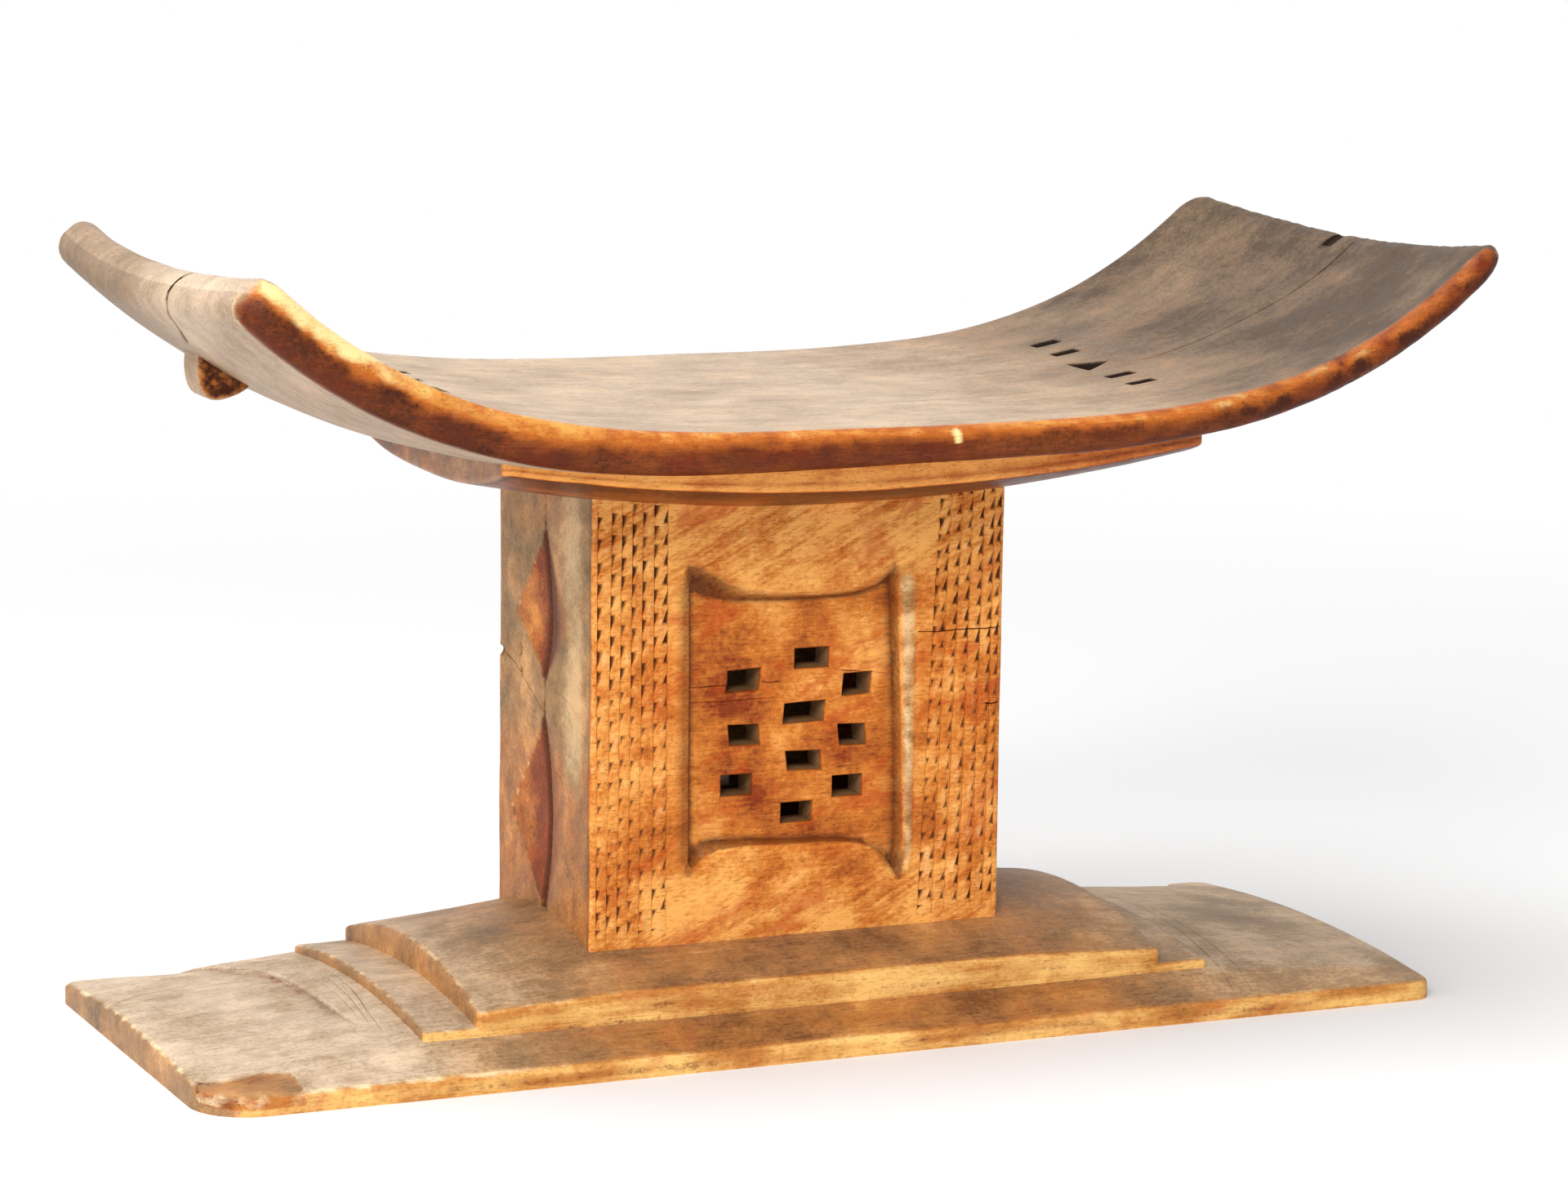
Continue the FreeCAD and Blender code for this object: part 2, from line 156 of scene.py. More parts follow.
class Shader:
    """The node tree of a material or of the world, written in a few plain calls."""

    def __init__(self, owner: bpy.types.Material | bpy.types.World) -> None:
        """Empties the owner's tree."""
        owner.use_nodes = True
        self.owner = owner
        self.tree = owner.node_tree
        self.tree.nodes.clear()

    def node(self, kind: str, settings: dict | None = None, inputs: dict | None = None) -> bpy.types.Node:
        """Adds a node.

        Args:
            kind: The node's type.
            settings: Its settings, set first. "stops" are a ramp's places and colours.
            inputs: Values or links, by the socket's name or number.

        Returns:
            The node.
        """
        made = self.tree.nodes.new(kind)
        for name, setting in (settings or {}).items():
            if name != "stops":
                setattr(made, name, setting)
                continue
            elements = made.color_ramp.elements
            while len(elements) < len(setting):
                elements.new(1.0)
            for element, (place, colour) in zip(elements, setting):
                element.position = place
                element.color = colour
        for name, given in (inputs or {}).items():
            source = given.socket if isinstance(given, Value) else given
            if isinstance(source, Socket):
                self.tree.links.new(source, made.inputs[name])
            else:
                made.inputs[name].default_value = source
        return made

    def attribute(self, name: str) -> Value:
        """Reads a share that the mesh carries."""
        return Value(self, self.node("ShaderNodeAttribute", {"attribute_name": name}).outputs["Fac"])

    def place(self) -> Socket:
        """Gives the point in the frame, in metres."""
        return self.node("ShaderNodeTexCoord").outputs["Object"]

    def scaled(self, vector: Socket, factors: Sequence[float]) -> Socket:
        """Stretches a vector by a factor for each axis."""
        made = self.node("ShaderNodeVectorMath", {"operation": "MULTIPLY"}, {0: vector, 1: factors})
        return made.outputs[0]

    def swayed(self, vector: Socket, scale: float, reach: float) -> Socket:
        """Moves a vector about at random.

        Args:
            vector: The vector.
            scale: Scale of the noise.
            reach: How far it moves.

        Returns:
            The moved vector.
        """
        drawn = self.node("ShaderNodeTexNoise", {}, {"Vector": vector, "Scale": scale, "Detail": 2.0})
        settings = {"operation": "MULTIPLY_ADD"}
        inputs = {0: drawn.outputs["Color"], 1: (reach, reach, reach), 2: vector}
        return self.node("ShaderNodeVectorMath", settings, inputs).outputs[0]

    def noise(self, vector: Socket, scale: float = 1.0, detail: float = 4.0,
              roughness: float = 0.55, distortion: float = 0.0) -> Value:
        """Draws noise.

        Args:
            vector: Where it is read.
            scale: Its scale.
            detail: Its octaves.
            roughness: How strong the fine octaves are.
            distortion: How far it curls.

        Returns:
            The noise, about 0.5 on average.
        """
        inputs = {"Vector": vector, "Scale": scale, "Detail": detail, "Roughness": roughness,
                  "Distortion": distortion}
        return Value(self, self.node("ShaderNodeTexNoise", {}, inputs).outputs[0])

    def ramp(self, value: Value, stops: Sequence[tuple[float, Colour]]) -> Socket:
        """Colours a value by stops, each a place and a colour."""
        return self.node("ShaderNodeValToRGB", {"stops": stops}, {"Fac": value}).outputs[0]

    def mix(self, share: Number, first: object, second: object) -> Socket:
        """Mixes two colours or links, with a share of the second."""
        made = self.node("ShaderNodeMix", {"data_type": "RGBA"}, {0: share, 6: first, 7: second})
        return made.outputs[2]

    def surface(self, colour: Socket, roughness: Value, height: Value, depth: float,
                constants: dict[str, float]) -> None:
        """Ends the tree in a Principled shader.

        Args:
            colour: Base colour.
            roughness: Roughness.
            height: Height of the relief, from 0 to 1.
            depth: What a height of 1 measures, in metres.
            constants: Other sockets of the shader and their plain values.
        """
        bump = self.node("ShaderNodeBump", {}, {"Strength": 1.0, "Distance": depth, "Height": height})
        inputs = {"Base Color": colour, "Roughness": roughness, "Normal": bump.outputs[0], **constants}
        principled = self.node("ShaderNodeBsdfPrincipled", {}, inputs)
        self.node("ShaderNodeOutputMaterial", {}, {"Surface": principled.outputs[0]})


@dataclass(frozen=True)
class Groove:
    """A crack, a scratch or a cut line along a face, which runs out at its ends to its tail's share."""

    line: Line
    width: float
    depth: float
    tail: float = 0.3

    def guides(self) -> list[Line]:
        """Gives the lines that the triangles keep to.

        Returns:
            The middle line and the two edges.
        """
        line = np.array(self.line, float)
        along = np.gradient(line, axis=0)
        across = np.column_stack([-along[:, 1], along[:, 0]]) / np.linalg.norm(along, axis=1)[:, None]
        offsets = (0, -self.width / 2, self.width / 2)
        return [[tuple(point) for point in line + across * offset] for offset in offsets]

    def depths(self, places: Array) -> Array:
        """Measures the groove.

        Args:
            places: Plan points.

        Returns:
            Its depth at each point.
        """
        line = np.array(self.line, float)
        steps = np.diff(line, axis=0)
        lengths = np.linalg.norm(steps, axis=1)
        passed = np.concatenate([[0], np.cumsum(lengths)])
        nearest = np.full(len(places), np.inf)
        share = np.zeros(len(places))
        for start, step, length, before in zip(line, steps, lengths, passed):
            along = np.clip((places - start) @ step / length ** 2, 0, 1)
            gap = np.linalg.norm(places - start - along[:, None] * step, axis=1)
            closer = gap < nearest
            nearest = np.where(closer, gap, nearest)
            share = np.where(closer, (before + along * length) / passed[-1], share)
        ends = np.minimum(1, np.minimum(share, 1 - share) / TAPER_SHARE)
        profile = np.clip(1 - nearest / (self.width / 2), 0, 1)
        return self.depth * profile * (self.tail + (1 - self.tail) * ends)


def outline_gap(places: Array, corners: Line) -> Array:
    """Measures how far points lie inside a closed outline.

    Args:
        places: Plan points.
        corners: The outline's corners, either way round.

    Returns:
        The gap to the outline, above 0 inside it.
    """
    loop = np.array(corners, float)
    gap = np.full(len(places), np.inf)
    inside = np.zeros(len(places), bool)
    for start, end in zip(loop, np.roll(loop, -1, axis=0)):
        step = end - start
        along = np.clip((places - start) @ step / (step @ step), 0, 1)
        gap = np.minimum(gap, np.linalg.norm(places - start - along[:, None] * step, axis=1))
        spans = (places[:, 1] < start[1]) != (places[:, 1] < end[1])
        if abs(step[1]) > 0:
            crossing = start[0] + (places[:, 1] - start[1]) / step[1] * step[0]
            inside ^= spans & (places[:, 0] < crossing)
    return np.where(inside, gap, -gap)


@dataclass(frozen=True)
class Patch:
    """A broken or sunken area of a face."""

    corners: Line
    depth: float
    slope: float = 0.6

    def depths(self, places: Array) -> Array:
        """Gives its depth at plan points."""
        return self.depth * ease(outline_gap(places, self.corners), -self.slope / 2, self.slope / 2)

    def guides(self) -> list[Line]:
        """Gives the lines that the triangles keep to.

        Returns:
            Its foot and its rim.
        """
        loop = np.array(self.corners, float)
        middle = loop.mean(axis=0)
        reach = np.linalg.norm(loop - middle, axis=1)[:, None]
        offsets = (-self.slope / 2, self.slope / 2)
        loops = [middle + (loop - middle) * (1 + offset / reach) for offset in offsets]
        return [[tuple(point) for point in (*ring, ring[0])] for ring in loops]


class Plan:
    """Points and lines laid out flat, then joined into triangles."""

    def __init__(self) -> None:
        """Starts empty."""
        self.points: list[Point] = []
        self.edges: list[tuple[int, int]] = []

    def path(self, line: Line, step: float, closed: bool = False) -> None:
        """Lays a line that the triangles keep to.

        Args:
            line: Its corners.
            step: About how far apart its points lie.
            closed: Whether it ends where it started.
        """
        ends = [*line, line[0]] if closed else list(line)
        first = len(self.points)
        for (x0, y0), (x1, y1) in zip(ends, ends[1:]):
            count = max(1, round(math.hypot(x1 - x0, y1 - y0) / step))
            shares = [k / count for k in range(count)]
            self.points += [(x0 + (x1 - x0) * share, y0 + (y1 - y0) * share) for share in shares]
        if not closed:
            self.points.append(tuple(ends[-1]))
        last = len(self.points) - 1
        self.edges += [(k, k + 1) for k in range(first, last)]
        if closed:
            self.edges.append((last, first))

    def fill(self, spacing: float, low: Point, high: Point) -> None:
        """Scatters points in staggered rows over a box, clear of the lines.

        Args:
            spacing: How far apart they lie.
            low: The box's low corner.
            high: Its high corner.
        """
        tree = KDTree(len(self.points))
        for index, (x, y) in enumerate(self.points):
            tree.insert((x, y, 0), index)
        tree.balance()
        clearance, row_pitch = CLEARANCE_SHARE * spacing, ROW_SHARE * spacing
        rows = int((high[1] - low[1]) / row_pitch)
        columns = int((high[0] - low[0]) / spacing)
        for row in range(rows + 1):
            for column in range(columns + 1):
                x = low[0] + (column + 0.5 * (row % 2)) * spacing
                y = low[1] + row * row_pitch
                if x < high[0] and tree.find((x, y, 0))[2] > clearance:
                    self.points.append((x, y))

    def triangles(self, kept: Callable[[Array], Array]) -> tuple[Array, Array]:
        """Joins everything.

        Args:
            kept: Says for plan points whether a triangle with its middle there stays.

        Returns:
            The plan points that are used, and the triangles' corners, counter-clockwise.
        """
        vectors = [Vector(point) for point in self.points]
        found, _, faces, _, _, _ = delaunay_2d_cdt(vectors, self.edges, [], 0, MERGE_GAP)
        places = np.array([point[:] for point in found])
        corners = np.array([face[:] for face in faces])
        a, b, c = (places[corners[:, k]] for k in range(3))
        area = (b[:, 0] - a[:, 0]) * (c[:, 1] - a[:, 1]) - (b[:, 1] - a[:, 1]) * (c[:, 0] - a[:, 0])
        corners[area < 0] = corners[area < 0][:, ::-1]
        corners = corners[(np.abs(area) > SLIVER_AREA) & kept((a + b + c) / 3)]
        used, renumbered = np.unique(corners, return_inverse=True)
        return places[used], renumbered.reshape(corners.shape)


def rim_edges(corners: Array) -> Array:
    """Finds the open rim of a skin.

    Args:
        corners: The skin's triangles.

    Returns:
        The edges with one triangle, in that triangle's direction.
    """
    edges = np.concatenate([corners[:, [0, 1]], corners[:, [1, 2]], corners[:, [2, 0]]])
    count = corners.max() + 1
    forward = edges[:, 0] * count + edges[:, 1]
    backward = edges[:, 1] * count + edges[:, 0]
    return edges[~np.isin(forward, backward)]


def box_gap(places: Array, half: Point, radius: Array | float) -> Array:
    """Measures how far points lie inside a rounded rectangle about the origin.

    Args:
        places: Plan points.
        half: Half its length and half its width.
        radius: Its corner radius, which may differ from point to point.

    Returns:
        The gap to its outline, above 0 inside it.
    """
    beyond = np.abs(places) - np.array(half) + np.reshape(radius, (-1, 1))
    outside = np.linalg.norm(np.maximum(beyond, 0), axis=1)
    return radius - outside - np.minimum(beyond.max(axis=1), 0)


def ring(half: Point, radii: Sequence[float], inset: float, step: float) -> list[Point]:
    """Draws a rounded rectangle about the origin.

    Args:
        half: Half its length and half its width.
        radii: Corner radii from the near left corner, counter-clockwise.
        inset: How far inside the full outline it runs.
        step: About how far apart its points lie.

    Returns:
        Its points, counter-clockwise.
    """
    points: list[Point] = []
    for quarter, ((sx, sy), radius) in enumerate(zip(SIGNS, radii)):
        own = max(radius - inset, SMALLEST_RADIUS)
        centre_x = sx * (half[0] - inset - own)
        centre_y = sy * (half[1] - inset - own)
        turns = max(3, round(radius * math.pi / 2 / step))
        for k in range(turns + 1):
            angle = math.pi * (1 + quarter / 2 + k / turns / 2)
            points.append((centre_x + own * math.cos(angle), centre_y + own * math.sin(angle)))
    return points


def edge_drop(gap: Array, reach: float, drop: float) -> Array:
    """Gives how far a rounded edge falls, from nothing a reach in to its whole drop at the edge."""
    share = np.clip(1 - gap / reach, 0, 1)
    return drop * (1 - np.sqrt(1 - share ** 2))


@dataclass(frozen=True)
class Holes:
    """Pierced holes with rounded edges."""

    outlines: tuple[Line, ...]
    reach: float
    drop: float
    rings: Floats
    spans: Point
    step: float

    def lay(self, plan: Plan) -> None:
        """Lays the outlines and the rings about them in a plan.

        Args:
            plan: The plan.
        """
        for outline in self.outlines:
            middle = np.mean(outline, axis=0)
            for grow in self.rings:
                loop = middle + (np.array(outline) - middle) * (1 + grow / np.array(self.spans))
                plan.path([tuple(point) for point in loop], self.step, closed=True)

    def gap(self, places: Array) -> Array:
        """Measures how far plan points lie outside every hole."""
        return np.min([-outline_gap(places, outline) for outline in self.outlines], axis=0)

    def fall(self, places: Array) -> Array:
        """Gives how far the holes' edges fall away."""
        return edge_drop(self.gap(places), self.reach, self.drop)


@dataclass
class Cut:
    """A piece's points and faces, the plan point that each comes from, and its level between the skins."""

    points: Array
    faces: list[tuple[int, ...]]
    plan: Array
    level: Array

    @property
    def upper(self) -> Array:
        """Says which points lie on the upper skin."""
        return self.level < 0.01

    @property
    def below(self) -> Array:
        """Says which points lie on the lower skin."""
        return self.level > 0.99

    def normals(self) -> Array:
        """Works out the points' mean normals.

        Returns:
            A normal for each point.
        """
        total = np.zeros_like(self.points)
        for size in {len(face) for face in self.faces}:
            corners = np.array([face for face in self.faces if len(face) == size])
            a, b, c = (self.points[corners[:, k]] for k in (0, size // 3, 2 * size // 3))
            normal = np.cross(b - a, c - a)
            for k in range(size):
                np.add.at(total, corners[:, k], normal)
        return total / np.maximum(np.linalg.norm(total, axis=1), 1e-9)[:, None]


def close_skins(plan: Array, corners: Array, top: Array, low: Array, rows: int) -> Cut:
    """Joins an upper and a lower skin that share a plan by walls round their rims.

    Args:
        plan: The plan points.
        corners: The triangles.
        top: The upper skin's points.
        low: The lower skin's points.
        rows: How many faces the walls have from top to bottom.

    Returns:
        The closed piece. Its level runs from 0 on the upper skin to 1 on the lower.
    """
    count = len(plan)
    rims = rim_edges(corners)
    around = np.unique(rims)
    order = np.zeros(count, int)
    order[around] = np.arange(len(around))
    shares = [row / rows for row in range(1, rows)]
    walls = [top[around] * (1 - share) + low[around] * share for share in shares]
    levels = [np.full(len(around), share) for share in shares]
    starts = [2 * count + row * len(around) for row in range(rows - 1)]
    faces = [tuple(map(int, face)) for face in corners]
    faces += [tuple(int(k) + count for k in face[::-1]) for face in corners]
    for a, b in rims:
        left = [int(a), *(start + int(order[a]) for start in starts), int(a) + count]
        right = [int(b), *(start + int(order[b]) for start in starts), int(b) + count]
        faces += [(right[k], left[k], left[k + 1], right[k + 1]) for k in range(rows)]
    return Cut(
        np.concatenate([top, low, *walls]),
        faces,
        np.concatenate([plan, plan] + [plan[around]] * (rows - 1)),
        np.concatenate([np.zeros(count), np.ones(count), *levels]),
    )


@dataclass
class Tint:
    """Shares from 0 to 1 that the finish reads at each point."""

    warm: Array
    tone: Array
    # The dark share carries stains and also painted shade in recesses and creases; the wear share also carries
    # painted highlights on crests and edges; the dirt share also carries painted shade inside the column's holes
    # and hollow.
    dark: Array
    wear: Array
    dirt: Array
    scrape: Array

    @classmethod
    def plain(cls, count: int, warm: float = 0.0, tone: float = 0.5) -> "Tint":
        """Starts even, with one warmth and one tone at every point."""
        return cls(np.full(count, warm), np.full(count, tone), *np.zeros((4, count)))


@dataclass
class Carved:
    """A member with an upper and a lower skin, and the marks on them."""

    grooves: list[Groove] = field(default_factory=list)
    low_grooves: list[Groove] = field(default_factory=list)
    patches: list[Patch] = field(default_factory=list)
    name: str = ""
    slot: str = ""
    node: str = ""
    ripple: float = 0.35
    ripple_draw: Draw = (38.0, 3.0)
    pitting: float = 0.07
    pitting_draw: Draw = (6.0, 8.0)

    def marks(self, plan: Array) -> Array:
        """Gives how deep the upper skin is cut at plan points."""
        return sum((mark.depths(plan) for mark in (*self.grooves, *self.patches)), np.zeros(len(plan)))

    def low_marks(self, plan: Array) -> Array:
        """Gives how deep the lower skin is cut at plan points."""
        return sum((mark.depths(plan) for mark in self.low_grooves), np.zeros(len(plan)))

    def lay_marks(self, plan: Plan, step: float) -> None:
        """Lays the marks' lines in a plan.

        Args:
            plan: The plan.
            step: About how far apart their points lie.
        """
        for mark in (*self.grooves, *self.low_grooves, *self.patches):
            for guide in mark.guides():
                plan.path(guide, step)

    def roughen(self, cut: Cut, hold: Array | None = None) -> None:
        """Makes hand-worked faces a little uneven.

        Args:
            cut: The piece, whose points are moved.
            hold: Shares that keep points from moving.
        """
        shift = self.ripple * rough(cut.points, *self.ripple_draw)
        shift += self.pitting * rough(cut.points, *self.pitting_draw)
        if hold is not None:
            shift *= 1 - hold
        cut.points = cut.points + cut.normals() * shift[:, None]

    def cut(self) -> Cut:
        """Builds the member's points and faces, in mm."""
        raise NotImplementedError

    def tint(self, cut: Cut) -> Tint:
        """Says where the member is warm, dark, worn and dirty, and where painted highlights and painted shade fall.
        """
        raise NotImplementedError

    def build(self, material: bpy.types.Material) -> bpy.types.Object:
        """Makes the member's dressed piece, which rides on the stool.

        Args:
            material: Its finish.

        Returns:
            The piece.
        """
        cut = self.cut()
        tint = self.tint(cut)
        mesh = bpy.data.meshes.new(self.name)
        mesh.from_pydata((cut.points * MM).tolist(), [], cut.faces)
        mesh.validate()
        mesh.shade_smooth()
        mesh.set_sharp_from_angle(angle=math.radians(CREASE_DEGREES))
        for share in fields(Tint):
            values = np.clip(getattr(tint, share.name), 0, 1).astype(np.float32)
            mesh.attributes.new(share.name, "FLOAT", "POINT").data.foreach_set("value", values)
        mesh.materials.append(material)
        piece = bpy.data.objects.new(self.name, mesh)
        bpy.context.collection.objects.link(piece)
        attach(piece, BODY)
        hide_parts(self.node)
        LOG.info("%s: %d points, %d faces", self.name, len(mesh.vertices), len(mesh.polygons))
        return piece


class Corners(Enum):
    """How round a member's corners are, from the near left one, counter-clockwise."""

    SEAT = (11.0, 11.0, 11.0, 11.0)
    SHOULDER = (5.0, 5.0, 5.0, 5.0)
    PLANK = (26.0, 10.0, 10.0, 10.0)
    STEP = (3.0, 2.5, 3.0, 2.5)


@dataclass
class Board(Carved):
    """A member that is laid out as a rectangle with rounded corners and a worn edge."""

    length: float = 586.0
    width: float = 222.0
    corners: Corners = Corners.PLANK
    edge_reach: float = 3.4
    edge_fall: float = 2.4
    spacing: float = 4.0
    rings: Floats = (0.0, 0.3, 0.9, 1.8, 3.4)
    corner_step: float = 3.0
    mark_step: float = 3.0
    margin: float = 5.0
    wall_rows: int = 4

    @property
    def half(self) -> Point:
        """Gives half the length and half the width."""
        return (self.length / 2, self.width / 2)

    def radii(self, places: Array) -> Array:
        """Picks the corner that rules at each plan point.

        Args:
            places: The plan points.

        Returns:
            Its radius at each point.
        """
        near_left, near_right, far_right, far_left = self.corners.value
        near = np.where(places[:, 0] < 0, near_left, near_right)
        far = np.where(places[:, 0] < 0, far_left, far_right)
        return np.where(places[:, 1] < 0, near, far)

    def gap(self, places: Array) -> Array:
        """Measures how far plan points lie inside the outline."""
        return box_gap(places, self.half, self.radii(places))

    def edge(self, places: Array) -> Array:
        """Gives how far the worn edge falls away at plan points."""
        return edge_drop(self.gap(places), self.edge_reach, self.edge_fall)

    @cached_property
    def holes(self) -> Holes | None:
        """Gives its holes, if it has any."""
        return None

    def layout(self) -> Plan:
        """Sets out the rounded edge, the holes and the marks, and fills the rest evenly.

        Returns:
            The plan.
        """
        plan = Plan()
        for inset in self.rings:
            plan.path(ring(self.half, self.corners.value, inset, self.corner_step), self.spacing, closed=True)
        if self.holes:
            self.holes.lay(plan)
        self.lay_marks(plan, self.mark_step)
        reach = (self.half[0] - self.margin, self.half[1] - self.margin)
        plan.fill(self.spacing, (-reach[0], -reach[1]), reach)
        return plan


@dataclass
class Seat(Board):
    """The dished seat with its curled ends, slots and cracks. Its edge falls by a share of its thickness."""

    name: str = "seat_carved"
    slot: str = "seat_wood"
    node: str = "seat"
    length: float = 562.0
    width: float = 288.0
    corners: Corners = Corners.SEAT
    shift: float = 8.5
    turn: float = -1.0
    low: float = 279.5
    rise: float = 73.5
    curl_power: float = 3.8
    left_thickness: float = 21.0
    middle_thickness: float = 15.5
    right_thickness: float = 12.0
    middle_dish: float = 2.0
    end_dish: float = 9.0
    left_bulge: float = 10.0
    right_bulge: float = 4.0
    right_sag: float = 6.0
    edge_reach: float = 6.0
    edge_fall: float = 0.43
    wall_share: float = 0.14
    lip: float = 8.5
    opening: Point = (12.0, 8.0)
    row_reach: float = 161.0
    row_places: Floats = (-63.0, -36.0, 36.0, 63.0)
    row_shift: float = 11.0
    row_skew: float = 6.0
    corner_hole: Point = (15.0, 24.0)
    hole_rings: Floats = (0.0, 0.5, 1.2)
    splits: Point = (-57.5, 12.5)
    chip: float = 22.0
    chatter_draw: Draw = (4.5, 6.0)
    spacing: float = 3.4
    rings: Floats = (0.0, 0.25, 0.8, 1.7, 3.0, 4.5, 6.2)
    mark_step: float = 2.6
    margin: float = 7.0

    def share(self, x: Array) -> Array:
        """Gives how far out along the seat a place is, from 0 to 1."""
        return np.abs(x) / (self.length / 2)

    def edge_height(self, x: Array) -> Array:
        """Gives the height of the top edge along the seat."""
        return self.low + self.rise * self.share(x) ** self.curl_power

    def ups(self, x: Array) -> Array:
        """Works out which way is square to the curl.

        Args:
            x: Places along the seat.

        Returns:
            A direction for each place.
        """
        steepest = self.curl_power * self.rise / (self.length / 2)
        slope = np.sign(x) * steepest * self.share(x) ** (self.curl_power - 1)
        return np.column_stack([-slope, np.zeros_like(x), np.ones_like(x)]) / np.hypot(slope, 1)[:, None]

    def thickness(self, x: Array) -> Array:
        """Gives the thickness at the long edges."""
        end = np.where(x > 0, self.right_thickness, self.left_thickness)
        return self.middle_thickness + (end - self.middle_thickness) * self.share(x)

    def crown(self, places: Array) -> Array:
        """Gives 1 on the seat's middle line and 0 at its long edges."""
        return 1 - (places[:, 1] / (self.width / 2)) ** 2

    def sag(self, places: Array) -> Array:
        """Gives how far the right end sags in its middle."""
        return self.right_sag * np.clip(places[:, 0] / (self.length / 2), 0, 1) ** 5 * self.crown(places)

    def top_depth(self, places: Array) -> Array:
        """Gives how far the dished top lies below its long edges."""
        dish = self.middle_dish + (self.end_dish - self.middle_dish) * self.share(places[:, 0]) ** 2
        return dish * self.crown(places) + self.sag(places)

    def low_depth(self, places: Array) -> Array:
        """Works out the bulging underside.

        Args:
            places: Plan points.

        Returns:
            How far it lies below the top's long edges at each point.
        """
        share = np.clip(places[:, 0] / (self.length / 2), 0, 1)
        bulge = self.left_bulge + (self.right_bulge - self.left_bulge) * share
        return self.thickness(places[:, 0]) + bulge * self.crown(places) + self.sag(places)

    def turned(self, points: Array) -> Array:
        """Turns and shifts points as the seat sits on the column.

        Args:
            points: Points in mm.

        Returns:
            The moved points.
        """
        angle = math.radians(self.turn)
        x = points[:, 0] * math.cos(angle) - points[:, 1] * math.sin(angle) + self.shift
        y = points[:, 0] * math.sin(angle) + points[:, 1] * math.cos(angle)
        return np.column_stack([x, y, points[:, 2]])

    def set_down(self, places: Array, depth: Array) -> Array:
        """Puts plan points in the frame, each a depth below the top's edge line, square to the curl."""
        x = places[:, 0]
        return self.turned(np.column_stack([x, places[:, 1], self.edge_height(x)]) - self.ups(x) * depth[:, None])

    @cached_property
    def holes(self) -> Holes:
        """Draws the two rows of slots and the three-cornered holes.

        Returns:
            The holes.
        """
        outlines = []
        for side in (-1, 1):
            x = side * self.row_reach
            y = self.row_shift
            for place in self.row_places:
                middle = x + place * math.tan(math.radians(self.row_skew))
                half_x, half_y = self.opening[0] / 2, self.opening[1] / 2
                outlines.append([(middle + sx * half_x, y + place + sy * half_y) for sx, sy in SIGNS])
            back, half = side * self.corner_hole[0] / 2, self.corner_hole[1] / 2
            outlines.append([(x - back, y - half), (x + back, y), (x - back, y + half)])
        return Holes(tuple(outlines), reach=1.2, drop=1.0, rings=self.hole_rings, spans=(6.0, 6.0), step=2.5)

    def cut(self) -> Cut:
        """Builds the seat, with tool chatter on its ends and its front.

        Returns:
            The seat's points and faces.
        """
        places, corners = self.layout().triangles(lambda at: (self.holes.gap(at) > 0) & (self.gap(at) > 0))
        top_depth, low_depth = self.top_depth(places), self.low_depth(places)
        fall = self.edge(places) * (low_depth - top_depth)
        nick = self.holes.fall(places)
        top = self.set_down(places, top_depth + fall + nick + self.marks(places))
        low = self.set_down(places, low_depth - fall - nick - self.low_marks(places))
        cut = close_skins(places, corners, top, low, self.wall_rows)
        self.roughen(cut)
        end = ease(self.length / 2 - np.abs(cut.plan[:, 0]), 5.0, 1.0)
        front = ease(self.width / 2 + cut.plan[:, 1], 7.0, 3.0)
        chatter = (0.5 * end + 0.3 * front) * rough(cut.points, *self.chatter_draw)
        cut.points = cut.points + cut.normals() * chatter[:, None]
        return cut

    def tint(self, cut: Cut) -> Tint:
        """Says where the seat is warm, dark, worn and dirty. Its long edges are golden above and brown below,
        partly their own colour and partly a painted highlight above and painted shade below.

        Args:
            cut: The seat's points.

        Returns:
            The shares.
        """
        x, y = cut.plan[:, 0], cut.plan[:, 1]
        tint = Tint.plain(len(cut.points), 0.1)
        cloud, blot, fine = rough(cut.points, 26.0, 5.0), rough(cut.points, 55.0, 9.0), rough(cut.points, 7.0, 15.0)
        right, far_right, end = ease(x, 30.0, 170.0), ease(x, 70.0, 180.0), ease(x, 120.0, 230.0)
        curl = ease(x, 150.0, 260.0) * ease(y, 60.0, -110.0)
        top = 0.7 - 0.24 * right - 0.3 * end - 0.1 * curl + (0.05 + 0.1 * right) * blot + 0.07 * right * cloud
        left_tip = ease(x, -225.0, -268.0) * (0.1 - 0.3 * ease(y, -60.0, 40.0))
        tint.tone = np.where(cut.upper, top, 0.72 + 0.1 * blot - 0.14 * cut.below) + left_tip
        tint.warm = tint.warm + 0.08 * cloud + 0.04 * right - 0.08 * end
        near, far = self.width / 2 + y, self.width / 2 - y
        off_end = ease(self.length / 2 - np.abs(x), 0.2, 3.5)
        band = np.maximum(ease(near, self.lip, 5.5), 0.5 * ease(far, 5.0, 2.0)) * off_end
        drop, side = self.edge(cut.plan), self.edge_fall + self.wall_share * cut.level
        down = np.where(cut.upper, drop, np.where(cut.below, 1 - drop, side))
